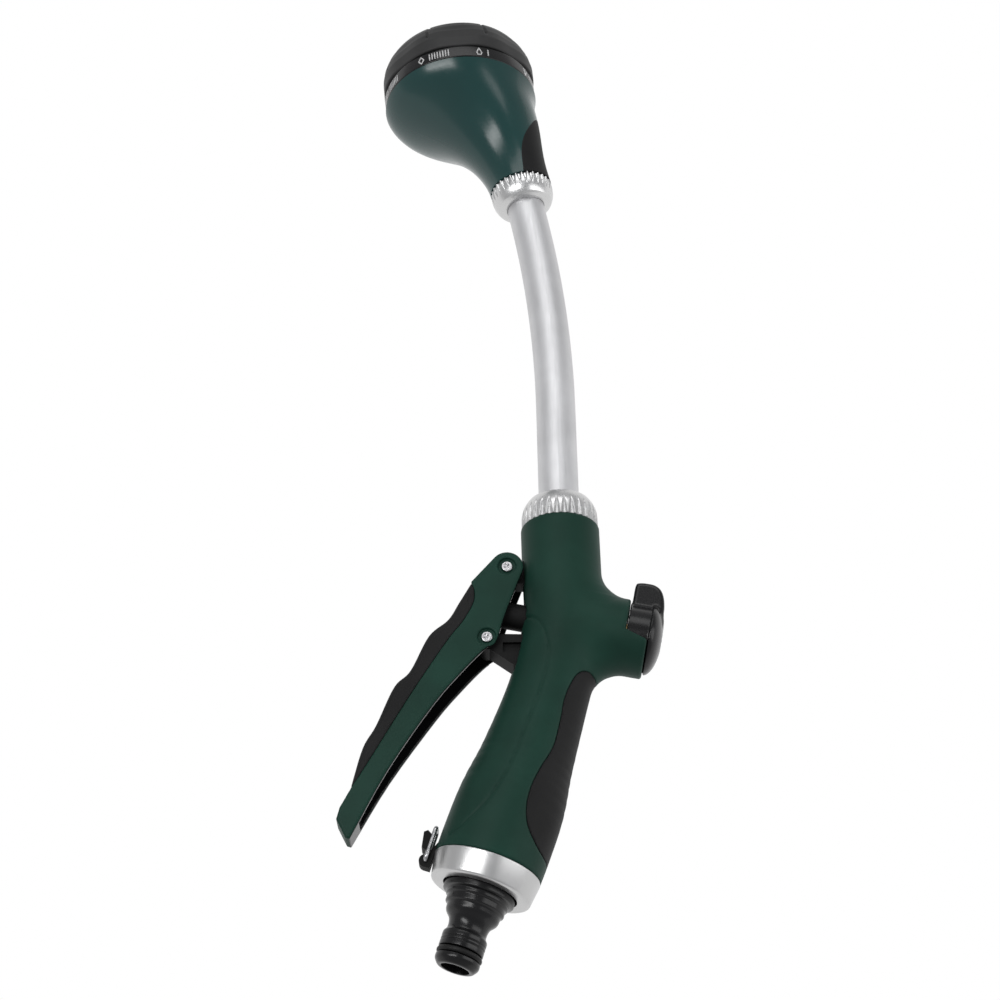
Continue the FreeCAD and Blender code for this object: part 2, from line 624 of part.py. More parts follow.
# ---- inlet ----------------------------------------------------------------------------------------
def make_inlet():
    """Quick-connector nipple with its ring and washer, and the metal collar round its flange."""
    land = "nipple_od / 2"
    nipple = turned("inlet_nipple", [
        ("nipple_bore / 2", "0"), (land + " - 1.6", "0"), (land + " - 0.3", "1.0"), (land, "2.2"),
        (land, "3.6"),
        (land + " - 2.0", "3.6"), (land + " - 2.0", "6.4"), (land, "6.4"), (land, "12.0"),
        (land + " - 1.0", "13.0"),
        (land + " - 1.0", "15.6"), (land + " - 0.5", "16.4"), (land + " - 0.6", "18.4"),
        (land + " + 1.7", "19.2"),
        (land + " + 1.7", "21.6"), (land + " + 2.2", "22.4"), (land + " + 2.2", "25.4"),
        ("nipple_flange_rad", "25.9"), ("nipple_flange_rad", "nipple_len + 7.5"),
        ("9.0", "nipple_len + 7.5"),
        ("9.0", "nipple_len + collar_height + 12"), ("nipple_bore / 2",
                                                     "nipple_len + collar_height + 12")], INLET)
    finish(nipple, "inlet_nipple")
    finish(torus("nipple_ring", "nipple_od / 2 - 2.0 + nipple_ring_cord / 2 + 0.01", "nipple_ring_cord / 2",
                 along_frame(INLET, 5.0)), "nipple_o_ring")
    washer = turned("inlet_washer", [("9.2", "nipple_len + 7.6"), ("13.0", "nipple_len + 7.6"),
                                     ("13.0", "nipple_len + collar_height + 0.9"),
                                     ("9.2", "nipple_len + collar_height + 0.9")], INLET)
    finish(washer, "inlet_washer")
    collar = turned("inlet_collar", [
        ("collar_opening_rad", "nipple_len"), ("grip_rad - collar_taper - 0.5", "nipple_len"),
        ("grip_rad - collar_taper", "nipple_len + 0.6"), ("grip_rad", "nipple_len + collar_height - 0.4"),
        ("grip_rad - 0.4", "nipple_len + collar_height"), ("grip_rad - wall", "nipple_len + collar_height"),
        ("grip_rad - wall", "nipple_len + 2.4"), ("collar_opening_rad", "nipple_len + 2.4")], INLET)
    finish(collar, "inlet_collar")


# ---- lance ----------------------------------------------------------------------------------------
def flutes(name, count, radius, low, high, frame):
    """Long pointed cuts round a nut, made by one slanted cone repeated in a circle."""
    cuts = []
    total = int(round(size(count)))
    depth = size("flute_depth")
    for index in range(total):
        turn = Placement(Vector(0, 0, 0), Rotation(Vector(0, 0, 1), 360.0 * index / total))
        cone = Part.makeCone(1.15, 0.25, high - low, Vector(radius + 1.15 - depth, 0, low), Vector(0, 0, 1))
        cone.Placement = turn.multiply(cone.Placement)
        cuts.append(cone)
    tool = feature(name, cuts[0].fuse(cuts[1:]))
    tool.Placement = frame
    return tool


def make_lance():
    """The bent aluminium tube, its two fluted union nuts and their rings."""
    start = along_frame(BARREL, -size("tube_grip")).Base
    top = NECK_BASE + direction(size("neck_angle")) * size("tube_grip")
    middle = BEND_CENTRE + Vector(math.cos(BEND / 2), math.sin(BEND / 2), 0) * size("bend_radius")
    path = Part.Wire([straight_edge(start, BEND_START), Part.Arc(BEND_START, middle, BEND_END).toShape(),
                      straight_edge(BEND_END, top)])
    radius = size("tube_od") / 2
    solids = []
    for rad in (radius, radius - size("tube_wall")):
        section = Part.Wire(Part.Circle(start, Vector(0, 1, 0), rad).toShape())
        solids.append(path.makePipeShell([section], True, True))
    finish(feature("lance_pipe", solids[0].cut(solids[1])), "lance_tube")

    nut = "lower_nut_rad"
    tall = "lower_nut_height"
    lower = turned("lower_nut_blank", [
        ("lower_thread_rad + static_gap", "0.05"), (nut + " - 0.3", "0.05"), (nut, "0.6"), (nut, "4.5"),
        (nut + " - 0.7", "7.0"), (nut + " - 2.2", "9.5"), (nut + " - 4.6", "11.8"),
        ("tube_od / 2 + 1.2", tall),
        ("tube_od / 2 + static_gap", tall), ("tube_od / 2 + static_gap", "lower_thread_len + 2.15"),
        ("lower_thread_rad + static_gap", "lower_thread_len + 2.15")], BARREL)
    finish(cut("lower_nut_cut", lower, [flutes("lower_flute_cuts", "lower_flutes", size(nut), 0.0, 10.0,
                                               BARREL)]),
           "lower_nut")
    finish(torus("lower_ring", "tube_od / 2 + 1.05", "1.0", along_frame(BARREL,
                                                                        size("lower_thread_len") + 1.05)),
           "lower_o_ring")

    down = axis_frame(NECK_BASE, size("neck_angle") + 180)
    nut = "upper_nut_rad"
    tall = "upper_nut_height"
    upper = turned("upper_nut_blank", [
        ("upper_thread_rad + static_gap", "0.05"), (nut + " - 0.3", "0.05"), (nut, "0.5"), (nut, "3.0"),
        (nut + " - 0.6", "5.2"), (nut + " - 2.0", "7.6"), (nut + " - 3.6", "9.4"),
        ("tube_od / 2 + 0.9", tall),
        ("tube_od / 2 + static_gap", tall), ("tube_od / 2 + static_gap", "upper_thread_len + 1.9"),
        ("upper_thread_rad + static_gap", "upper_thread_len + 1.9")], down)
    finish(cut("upper_nut_cut", upper, [flutes("upper_flute_cuts", "upper_flutes", size(nut), 0.0, 6.5,
                                               down)]),
           "upper_nut")
    finish(torus("upper_ring", "tube_od / 2 + 0.95", "0.9", along_frame(down,
                                                                        size("upper_thread_len") + 0.93)),
           "upper_o_ring")


# ---- head -----------------------------------------------------------------------------------------
HEAD_SHAPE = [(0.0, 0.0, 0.0), (0.2, 0.109, 0.04), (0.4, 0.254, 0.162), (0.6, 0.461, 0.382),
              (0.8, 0.796, 0.73),
              (1.0, 1.0, 1.0)]


def head_sections(inset):
    """Round sections from the neck to the bell's rim: share of the height, of the lean and of the flare."""
    sections = []
    for share, lean, flare in HEAD_SHAPE:
        point = NECK_BASE + Vector((BELL_TOP.x - NECK_BASE.x) * lean, (BELL_TOP.y - NECK_BASE.y) * share, 0)
        angle = size("neck_angle") + (size("dial_angle") - size("neck_angle")) * share
        radius = size("neck_rad") + (size("bell_rad") - size("neck_rad")) * flare - inset
        sections.append((axis_frame(point, angle), radius, radius))
    return sections


def head_inlay_region(name, inset):
    """The skin of the neck's back, inside a pointed arch."""
    height = (BELL_TOP - NECK_BASE).y
    border = smooth_edge([NECK_BASE + Vector(1.0, -0.6, 0), NECK_BASE + Vector(0.7, 0.10 * height, 0),
                          NECK_BASE + Vector(0.4, 0.24 * height, 0), NECK_BASE + Vector(1.7, 0.40 * height,
                                                                                        0),
                          NECK_BASE + Vector(4.5, 0.55 * height, 0), NECK_BASE + Vector(8.6, 0.76 * height,
                                                                                        0),
                          NECK_BASE + Vector(11.6, 0.90 * height, 0)])
    first = border.Vertexes[0].Point
    last = border.Vertexes[-1].Point
    right_low = NECK_BASE + Vector(25, -0.6, 0)
    right_high = NECK_BASE + Vector(25, 0.90 * height, 0)
    prism = feature(name + "_prism", flat_solid([border, straight_edge(last, right_high),
                                                 straight_edge(right_high, right_low),
                                                 straight_edge(right_low, first)], -30, 30))
    ring = cut(name + "_ring", lofted(name + "_skin", head_sections(inset)),
               [lofted(name + "_core", head_sections(size("inlay_depth")))])
    return common(name, [ring, prism])


def make_head():
    """The green bell, its rubber inlay and the black core that leads the water to the selector port."""
    bore = cylinder("neck_hole", "upper_thread_rad + static_gap", "20", along_frame(NECK, -1))
    shell = cut("head_cut", lofted("head_outer", head_sections(0)),
                [lofted("head_inner", head_sections(size("head_wall"))), bore,
                 head_inlay_region("head_recess", 0)])
    finish(shell, "head_shell")
    finish(head_inlay_region("head_inlay_skin", 0), "head_inlay")

    thread = cylinder("core_thread", "upper_thread_rad", "upper_thread_len + 14",
                      along_frame(NECK, -size("upper_thread_len")))
    port = along_frame(DIAL, -7.0, -size("port_ring_rad"))
    horn = lofted("core_horn", [(along_frame(NECK, 10), 9.0, 9.0), (along_frame(NECK, 22), 9.0, 9.0),
                                (along_frame(port, -6), 8.0, 8.0), (port, 8.0, 8.0)])
    plate = cylinder("core_plate", "bell_rad - head_wall - 3.2", "3", along_frame(DIAL, -4.0))
    pedestal = cylinder("core_pedestal", "9.0", "7", along_frame(port, 0))
    post = cylinder("core_post", "post_rad", "face_rise + 6.4", along_frame(DIAL, -1.2))
    solid = fuse("head_core_solid", [thread, horn, plate, pedestal, post])
    seat = cylinder("upper_tube_seat", "tube_od / 2 + static_gap", "upper_thread_len + tube_grip + 1",
                    along_frame(NECK, -size("upper_thread_len") - 0.5))
    way = lofted("horn_way", [(along_frame(NECK, 10), 6.0, 6.0), (along_frame(NECK, 22), 6.0, 6.0),
                              (along_frame(port, -6), 4.5, 4.5), (along_frame(port, 8), 4.5, 4.5)])
    seal = turned("seal_seat_cut", [("4.2", "-2.4"), ("7.4", "-2.4"), ("7.4", "1"), ("4.2", "1")],
                  along_frame(DIAL, 0, -size("port_ring_rad")))
    pocket = cylinder("detent_pocket", "2.1", "9", along_frame(DIAL, -5.0, size("detent_ring_rad")))
    bush = cylinder("detent_bush", "3.4", "5.6", along_frame(DIAL, -6.6, size("detent_ring_rad")))
    thread_hole = cylinder("post_thread", "1.9", "12", along_frame(DIAL, size("face_rise") - 5))
    finish(cut("head_core_cut", fuse("core_with_bush", [solid, bush]),
               [seat, way, seal, pocket, thread_hole]),
           "head_core")
    finish(torus("port_ring", "5.8", "1.3", along_frame(DIAL, -1.05, -size("port_ring_rad"))), "port_seal")
    finish(sphere("detent_sphere", "1.9", along_frame(DIAL, -1.36, size("detent_ring_rad"))), "detent_ball")
    spring = make_spring("detent_coil", 1.5, 0.25, 0, 1.9, 3)
    spring.Placement = along_frame(DIAL, -4.8, size("detent_ring_rad"))
    finish(spring, "detent_spring")


def make_dial():
    """The turning dial: label ring, rubber grip, distributor, spray face and its centre screw."""
    ring = turned("dial_ring_body", [
        ("plate_rad + 0.9", "0.4"), ("label_rad", "0.4"), ("label_rad", "0.4 + label_width"),
        ("label_rad - 2.0", "0.4 + label_width"), ("label_rad - 2.0", "dial_thick - 5.6"),
        ("face_rad + 0.05", "dial_thick - 5.6"), ("face_rad + 0.05", "5.4"), ("plate_rad + 0.9", "5.4")],
        DIAL)
    finish(ring, "dial_ring")
    grip = turned("dial_grip_blank", [
        ("label_rad - 1.95", "0.5 + label_width"), ("dial_rad - 0.5", "0.5 + label_width"),
        ("dial_rad", "1.0 + label_width"), ("dial_rad", "dial_thick - 11"),
        ("dial_rad - 0.8", "dial_thick - 7"), ("dial_rad - 2.2", "dial_thick - 3.4"),
        ("dial_rad - 4.0", "dial_thick - 0.6"), ("dial_rad - 4.7", "dial_thick"),
        ("face_rad + 0.3", "dial_thick"),
        ("face_rad + 0.3", "dial_thick - 5.5"), ("label_rad - 1.95", "dial_thick - 5.5")], DIAL)
    notches = []
    count = int(round(size("dial_notches")))
    for index in range(count):
        turn = 360.0 * index / count + 22.5
        place = DIAL.multiply(Placement(Vector(0, 0, 0), Rotation(Vector(0, 0, 1), turn)))
        foot = Vector(size("dial_rad") - 1.4, -0.5, size("dial_thick") - 8.0)
        start = place.multiply(Placement(foot, Rotation(Vector(0, 1, 0), -22)))
        notches.append(block("dial_notch_%d" % index, "4", "1.0", "9", start))
    finish(cut("dial_grip_cut", grip, notches), "dial_grip")

    distributor = turned("distributor_blank", [
        ("post_rad + run_gap", "0.6"), ("plate_rad", "0.6"), ("plate_rad", "5.0"),
        ("post_rad + run_gap", "5.0")], DIAL)
    ports = []
    dimples = []
    for index in range(count):
        turn = Placement(Vector(0, 0, 0), Rotation(Vector(0, 0, 1), 360.0 * index / count))
        place = DIAL.multiply(turn)
        ports.append(cylinder("port_%d" % index,
                              "3.6", "9", along_frame(place, -1, -size("port_ring_rad"))))
        dimples.append(sphere("dimple_%d" % index,
                              "2.2", along_frame(place, -0.6, size("detent_ring_rad"))))
    finish(cut("distributor_cut", distributor, ports + dimples), "distributor_plate")
    finish(spray_face(), "spray_face")
    screw = turned("dial_screw_body", [
        ("0", "face_rise - 3.6"), ("1.85", "face_rise - 3.6"), ("1.85", "face_rise + 5.4"),
        ("post_rad + 2.2", "face_rise + 5.4"), ("post_rad + 2.2", "face_rise + 6.3"),
        ("3.6", "face_rise + 7.5"),
        ("0", "face_rise + 7.5")], DIAL)
    finish(screw, "dial_screw")
    seal = torus("dial_seal_ring", "bell_rad - head_wall - 4.3", "0.68", along_frame(DIAL, -0.25))
    finish(seal, "dial_seal")


def spray_face():
    """The front plate with one group of holes for each spray pattern."""
    plate = turned("face_blank", [
        ("post_rad + run_gap", "face_rise"), ("face_rad", "face_rise"), ("face_rad", "face_rise + 6.7"),
        ("face_rad - 1.0", "face_rise + 7.7"), ("face_rad - 3.0", "face_rise + 7.7"),
        ("face_rad - 4.0", "face_rise + 6.5"), ("9.5", "face_rise + 6.5"), ("8.5", "face_rise + 4.7"),
        ("post_rad + run_gap", "face_rise + 4.7")], DIAL)
    holes = []
    for radius, count, bore in ((22.5, 40, 0.55), (19.5, 32, 0.55), (16.5, 8, 1.6), (12.5, 16, 0.6)):
        for index in range(count):
            turn = 2 * math.pi * index / count
            spot = Vector(radius * math.cos(turn), radius * math.sin(turn), size("face_rise") - 0.1)
            place = DIAL.multiply(Placement(spot, Rotation()))
            hole = Part.makeCylinder(bore, 8)
            hole.Placement = place
            holes.append(hole)
    drills = feature("face_drills", Part.makeCompound(holes))
    return cut("face_cut", plate, [drills])


# ---- trigger lock ---------------------------------------------------------------------------------
LOCK_SHARE = -0.045
LOCK_HINGE = on_grip(LOCK_SHARE, -size("grip_rad") - 2.2)


def make_lock():
    """A wire bail on a lug at the foot of the grip, with a thumb tab, that holds the trigger in."""
    hinge = LOCK_HINGE
    along = direction(size("inlet_angle"))
    half = size("bail_width") / 2
    wire = size("wire_dia") / 2
    inner = on_grip(LOCK_SHARE, -size("grip_rad") + 0.6)
    away = (hinge - inner).normalize()
    corner = along * 2.4
    root = inner + along * 9.0
    edges = [straight_edge(inner - corner, root), straight_edge(root, hinge + corner),
             Part.Arc(hinge + corner, hinge + away * 2.4, hinge - corner).toShape(),
             straight_edge(hinge - corner, inner - corner)]
    lug_half = half - wire - 0.35
    lug = feature("lug_block", flat_solid(edges, -lug_half, lug_half))
    bore = cylinder("lug_bore", "wire_dia / 2 + run_gap", "20",
                    Placement(hinge - Vector(0, 0, 10), UPRIGHT))
    barrel = cylinder("lug_barrel", "grip_rad + 0.03", "grip_len / 4",
                      along_frame(INLET, COLLAR_TOP - 12.0))
    clear = cut("lug_clear", lug, [lofted("lug_trim", handle_sections(-0.03)), barrel])
    finish(cut("lug_cut", clear, [bore]), "lock_lug")
    top = size("bail_len")
    left = Vector(0, 0, half)
    right = Vector(0, 0, -half)
    turn = 1.6
    sag = 1 - math.sqrt(0.5)
    path = Part.Wire([
        straight_edge(hinge, hinge + left - Vector(0, 0, turn)),
        Part.Arc(hinge + left - Vector(0, 0, turn),
                 hinge + left + along * turn * sag - Vector(0, 0, turn * sag),
                 hinge + left + along * turn).toShape(),
        straight_edge(hinge + left + along * turn, hinge + left + along * (top - turn)),
        Part.Arc(hinge + left + along * (top - turn),
                 hinge + left + along * (top - turn * sag) - Vector(0, 0, turn * sag),
                 hinge + left + along * top - Vector(0, 0, turn)).toShape(),
        straight_edge(hinge + left + along * top - Vector(0, 0, turn), hinge + along * top)])
    section = Part.Wire(Part.Circle(hinge, Vector(0, 0, 1), wire).toShape())
    half_bail = path.makePipeShell([section], True, False)
    other = half_bail.mirror(hinge, Vector(0, 0, 1))
    finish(feature("bail_wire", half_bail.fuse(other).removeSplitter()), "lock_bail")
    outward = away * wire
    base = hinge + along * (top * 0.5) + outward
    tab = [straight_edge(base - along * 3.0, base + along * 3.4),
           straight_edge(base + along * 3.4, base + along * 4.4 + away * 1.6),
           straight_edge(base + along * 4.4 + away * 1.6, base + along * 3.4 + away * 2.9),
           straight_edge(base + along * 3.4 + away * 2.9, base - along * 2.4 + away * 1.9),
           straight_edge(base - along * 2.4 + away * 1.9, base - along * 3.0)]
    finish(feature("tab_solid", flat_solid(tab, -half, half)), "lock_tab")


make_handle_shell()
make_grip_inlay()
make_valve_body()
make_valve_parts()
make_trigger()
make_trigger_pad()
make_pin("trigger_pivot_pin", PIVOT)
make_pin("link_pin", LINK_PIN)
make_link_arm()
make_flow_control()
make_inlet()
make_lance()
make_head()
make_dial()
make_lock()
doc.recompute()

# ---- check and write ------------------------------------------------------------------------------
for item in doc.Objects:
    if "Invalid" in item.State or "Error" in item.State:
        raise RuntimeError("%s (%s) did not recompute: %s" % (item.Name, item.Label, item.State))
os.makedirs("parts", exist_ok=True)
for piece in SUBPARTS:
    shape = piece.Shape
    if shape.isNull() or not shape.isValid():
        raise RuntimeError("%s has no valid shape" % piece.Label)
    print("%-20s solids %d  volume %9.1f mm3" % (piece.Label, len(shape.Solids), shape.Volume))
for piece in SUBPARTS:
    piece.Shape.exportStep("parts/%s.step" % piece.Label)
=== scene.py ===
import json
import math

import bpy
import numpy as np
from mathutils import Euler, Matrix, Vector


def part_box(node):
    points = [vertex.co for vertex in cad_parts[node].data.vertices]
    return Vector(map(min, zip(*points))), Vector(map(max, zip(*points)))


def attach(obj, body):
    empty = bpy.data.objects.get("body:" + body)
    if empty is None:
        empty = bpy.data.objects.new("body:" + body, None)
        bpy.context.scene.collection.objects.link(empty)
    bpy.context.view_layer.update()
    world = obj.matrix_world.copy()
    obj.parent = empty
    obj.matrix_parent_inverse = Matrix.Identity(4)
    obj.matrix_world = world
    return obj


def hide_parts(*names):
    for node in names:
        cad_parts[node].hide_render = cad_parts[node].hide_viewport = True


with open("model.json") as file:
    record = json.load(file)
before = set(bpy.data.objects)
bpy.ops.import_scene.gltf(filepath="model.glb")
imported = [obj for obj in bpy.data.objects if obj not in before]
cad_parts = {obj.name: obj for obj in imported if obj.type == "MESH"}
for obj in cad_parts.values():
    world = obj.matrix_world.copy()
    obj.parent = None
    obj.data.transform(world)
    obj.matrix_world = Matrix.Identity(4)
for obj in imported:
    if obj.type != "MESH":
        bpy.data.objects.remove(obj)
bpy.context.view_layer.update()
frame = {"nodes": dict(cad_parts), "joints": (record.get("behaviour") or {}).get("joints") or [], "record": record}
NODES = frame["nodes"]
JOINTS = {joint["name"]: joint for joint in frame["joints"]}
MOUNTS = {mount["name"]: mount for mount in frame["record"]["mounts"]}
MM = 0.001
FINE = 1.0
COARSE = 4  # small cells along the side of a coarse one
NEAR = 1.6  # how many coarse cells from the surface still count as near


# ---------------------------------------------------------------- places, in millimetres

def joint_place(name):
    return np.array(JOINTS[name]["pos_m"]) / MM


def joint_axis(name):
    return np.array(JOINTS[name]["axis"], float)


def box_mm(node):
    low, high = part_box(node)
    return np.array(low) / MM, np.array(high) / MM


INLET_AXIS = -np.array(MOUNTS["inlet_bore"]["axis"], float)
VALVE = joint_place("flow_turn")
VALVE_AXIS = joint_axis("flow_turn")
PIVOT = joint_place("trigger_squeeze")
LINK = joint_place("link_swing")
DIAL = joint_place("dial_turn")
DIAL_AXIS = joint_axis("dial_turn")
COLLAR_TOP = 38.3
GRIP_LENGTH = 96.7
nut_low, nut_high = box_mm("lower_nut")
TOP = np.array(((nut_low[0] + nut_high[0]) / 2, nut_low[1] - 0.05, 0.0))
BARREL_AXIS = np.array((0.0, 1.0, 0.0))
NECK_AXIS = np.array((math.cos(math.radians(100.5)), math.sin(math.radians(100.5)), 0.0))


def local(points, base, axis):
    """How far each point lies along an axis in the plane Z=0, to its left, and above the plane."""
    left = np.array((-axis[1], axis[0], 0.0))
    away = points - base
    return away @ axis, away @ left, points[:, 2]


def on_grip(share, across):
    side = np.array((INLET_AXIS[1], -INLET_AXIS[0], 0.0))
    return INLET_AXIS * (COLLAR_TOP + share * GRIP_LENGTH) + side * across


# ---------------------------------------------------------------- shapes as signed distances

def smooth_line(points, steps=8, closed=False):
    """A Catmull-Rom curve through the points."""
    knots = np.array(points, float)
    if closed:
        knots = np.vstack([knots[-1:], knots, knots[:2]])
    else:
        knots = np.vstack([2 * knots[0] - knots[1], knots, 2 * knots[-1] - knots[-2]])
    t = (np.arange(steps) / steps)[:, None]
    rows = []
    for a, b, c, d in zip(knots, knots[1:], knots[2:], knots[3:]):
        rows.append(0.5 * (2 * b + (c - a) * t + (2 * a - 5 * b + 4 * c - d) * t ** 2
                           + (3 * b - a - 3 * c + d) * t ** 3))
    if not closed:
        rows.append(knots[-2][None, :])
    return np.vstack(rows)


def to_line(flat, line):
    """Distance in the plane from each point to a line of short runs."""
    best = np.full(len(flat), 1e9)
    for a, b in zip(line, line[1:]):
        run = b - a
        share = np.clip((flat - a) @ run / max(run @ run, 1e-12), 0, 1)
        gap = flat - a - share[:, None] * run
        best = np.minimum(best, np.einsum("ij,ij->i", gap, gap))
    return np.sqrt(best)


def polygon(flat, corners):
    """Signed distance to a closed outline in the plane, below zero inside it."""
    ring = np.vstack([corners, corners[:1]])
    inside = np.zeros(len(flat), bool)
    x, y = flat[:, 0], flat[:, 1]
    for a, b in zip(ring, ring[1:]):
        if a[1] == b[1]:
            continue
        crosses = (a[1] > y) != (b[1] > y)
        inside ^= crosses & (x < (b[0] - a[0]) * (y - a[1]) / (b[1] - a[1]) + a[0])
    distance = to_line(flat, ring)
    return np.where(inside, -distance, distance)


def extruded(flat_distance, upright, half, radius):
    """An outline given thickness, with its edges rounded."""
    across = flat_distance + radius
    above = np.abs(upright) - half + radius
    outside = np.sqrt(np.maximum(across, 0) ** 2 + np.maximum(above, 0) ** 2)
    return np.minimum(np.maximum(across, above), 0) + outside - radius


def meet(a, b, radius):
    """The overlap of two shapes, with a rounded edge between them."""
    u = np.maximum(a + radius, 0)
    v = np.maximum(b + radius, 0)
    return np.minimum(np.maximum(a, b), -radius) + np.sqrt(u * u + v * v)


def join(a, b, radius):
    """Two shapes as one, with a fillet between them; the radius may vary from point to point."""
    u = np.maximum(radius - a, 0)
    v = np.maximum(radius - b, 0)
    return np.maximum(np.minimum(a, b), radius) - np.sqrt(u * u + v * v)


def round_bar(points, base, axis, low, high, radius):
    along, across, up = local(points, base, axis)
    wall = np.sqrt(across ** 2 + up ** 2) - radius
    return np.maximum(wall, np.maximum(low - along, along - high))


# ---------------------------------------------------------------- meshes

def mesh_object(name, points, faces, body, slots=(), replaces=(), slot=""):
    """A mesh from arrays of millimetre points and of equal-sided faces, riding on a body."""
    mesh = bpy.data.meshes.new(name)
    sides = faces.shape[1]
    mesh.vertices.add(len(points))
    mesh.vertices.foreach_set("co", (points * MM).astype(np.float32).ravel())
    mesh.loops.add(faces.size)
    mesh.loops.foreach_set("vertex_index", faces.astype(np.int32).ravel())
    mesh.polygons.add(len(faces))
    mesh.polygons.foreach_set("loop_start", np.arange(0, faces.size, sides, dtype=np.int32))
    mesh.polygons.foreach_set("use_smooth", np.ones(len(faces), bool))
    mesh.update(calc_edges=True)
    mesh.validate()
    obj = bpy.data.objects.new(name, mesh)
    bpy.context.collection.objects.link(obj)
    settle(obj, body, slots or (slot,), replaces, slot)
    return obj


def settle(obj, body, materials, replaces, slot):
    for material in materials:
        obj.data.materials.append(MATS[material])
    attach(obj, body)
    if replaces:
        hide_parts(*replaces)


def sampled(field, low, high, cell):
    """The field on a fine grid, worked out only near its surface; elsewhere a coarse value stands in."""
    coarse = COARSE * cell
    counts = np.ceil((high - low) / coarse).astype(int) + 1
    axes = [low[i] + coarse * np.arange(counts[i]) for i in range(3)]
    points = np.stack(np.meshgrid(*axes, indexing="ij"), -1).reshape(-1, 3)
    rough = field(points).reshape(counts)
    near = np.abs(rough) < coarse * NEAR
    fine_counts = (counts - 1) * COARSE + 1
    index = [np.rint(np.arange(n) / COARSE).astype(int) for n in fine_counts]
    values = rough[np.ix_(*index)].astype(float)
    band = np.nonzero(near[np.ix_(*index)])
    values[band] = field(low + cell * np.stack(band, -1))
    return values


def net(values):
    """Surface nets: one point in each grid cell that the surface crosses, joined in quads."""
    inside = values < 0
    shape = np.array(values.shape) - 1
    corners = [(i, j, k) for i in (0, 1) for j in (0, 1) for k in (0, 1)]
    total = np.zeros(shape, np.int8)
    for i, j, k in corners:
        total += inside[i:i + shape[0], j:j + shape[1], k:k + shape[2]]
    mixed = (total > 0) & (total < 8)
    cells = np.stack(np.nonzero(mixed), -1)
    number = np.full(shape, -1, np.int64)
    number[mixed] = np.arange(len(cells))
    places = np.zeros((len(cells), 3))
    count = np.zeros(len(cells))
    for first in corners:
        for axis in range(3):
            if first[axis]:
                continue
            second = list(first)
            second[axis] = 1
            a = values[tuple((cells + first).T)]
            b = values[tuple((cells + second).T)]
            crossed = (a < 0) != (b < 0)
            share = np.where(crossed, a / np.where(crossed, a - b, 1), 0)
            place = np.array(first, float) + share[:, None] * (np.array(second) - np.array(first))
            places[crossed] += place[crossed]
            count[crossed] += 1
    places = cells + places / count[:, None]
    faces = []
    for axis in range(3):
        others = [(axis + 1) % 3, (axis + 2) % 3]
        start = [slice(None)] * 3
        stop = [slice(None)] * 3
        start[axis] = slice(0, -1)
        stop[axis] = slice(1, None)
        near, far = inside[tuple(start)], inside[tuple(stop)]
        edge = np.stack(np.nonzero(near != far), -1)
        edge = edge[(edge[:, others[0]] > 0) & (edge[:, others[1]] > 0)
                    & (edge[:, others[0]] < shape[others[0]]) & (edge[:, others[1]] < shape[others[1]])]
        quad = []
        for back_one, back_two in ((1, 1), (0, 1), (0, 0), (1, 0)):
            cell = edge.copy()
            cell[:, others[0]] -= back_one
            cell[:, others[1]] -= back_two
            quad.append(number[tuple(cell.T)])
        quad = np.stack(quad, -1)
        leaving = near[tuple(edge.T)]
        faces.append(np.where(leaving[:, None], quad, quad[:, ::-1]))
    return places, np.vstack(faces)


def sculpt(name, field, low, high, cell, body, replaces=(), slot="", slots=(), paint=None):
    """A closed mesh of the space where the field is below zero, its points drawn onto the true surface."""
    low = np.array(low, float)
    high = np.array(high, float)
    cell = cell * FINE
    places, faces = net(sampled(field, low, high, cell))
    points = low + places * cell
    step = 0.05
    for _ in range(2):
        value = field(points)
        slope = np.stack([field(points + offset) - value for offset in np.eye(3) * step], -1) / step
        size = np.maximum(np.einsum("ij,ij->i", slope, slope), 0.2)
        move = -slope * (value / size)[:, None]
        length = np.sqrt(np.einsum("ij,ij->i", move, move))
        limit = 0.45 * cell
        points = points + move * np.minimum(1, limit / np.maximum(length, 1e-9))[:, None]
    obj = mesh_object(name, points, faces, body, slots, replaces, slot)
    if paint is not None:
        centres = points[faces].mean(1)
        normals = np.cross(points[faces[:, 2]] - points[faces[:, 0]],
                           points[faces[:, 3]] - points[faces[:, 1]])
        normals /= np.maximum(np.linalg.norm(normals, axis=1), 1e-12)[:, None]
        obj.data.polygons.foreach_set("material_index", paint(centres, normals).astype(np.int32))
    return obj


def axis_points(base, axis, radius, angle, along):
    """Points round an axis in the plane Z=0: their radius, their angle from its left, and their height."""
    left = np.array((-axis[1], axis[0], 0.0))
    up = np.array((0.0, 0.0, 1.0))
    radius, angle, along = (np.asarray(v, float)[..., None] for v in (radius, angle, along))
    return base + axis * along + radius * (np.cos(angle) * left + np.sin(angle) * up)


def rounded(profile, radius):
    """A closed profile of (radius, height) corners with every corner rounded as far as its sides allow."""
    points = np.array([row[:2] for row in profile], float)
    out = []
    count = len(points)
    for i in range(count):
        here, before, after = points[i], points[i - 1], points[(i + 1) % count]
        to_before, to_after = before - here, after - here
        reach = min(np.linalg.norm(to_before), np.linalg.norm(to_after))
        wanted = profile[i][2] if len(profile[i]) > 2 else radius
        cut = min(wanted, 0.45 * reach)
        first = here + to_before / np.linalg.norm(to_before) * cut
        last = here + to_after / np.linalg.norm(to_after) * cut
        for t in np.linspace(0, 1, 5):
            out.append((1 - t) ** 2 * first + 2 * t * (1 - t) * here + t * t * last)
    return np.array(out)


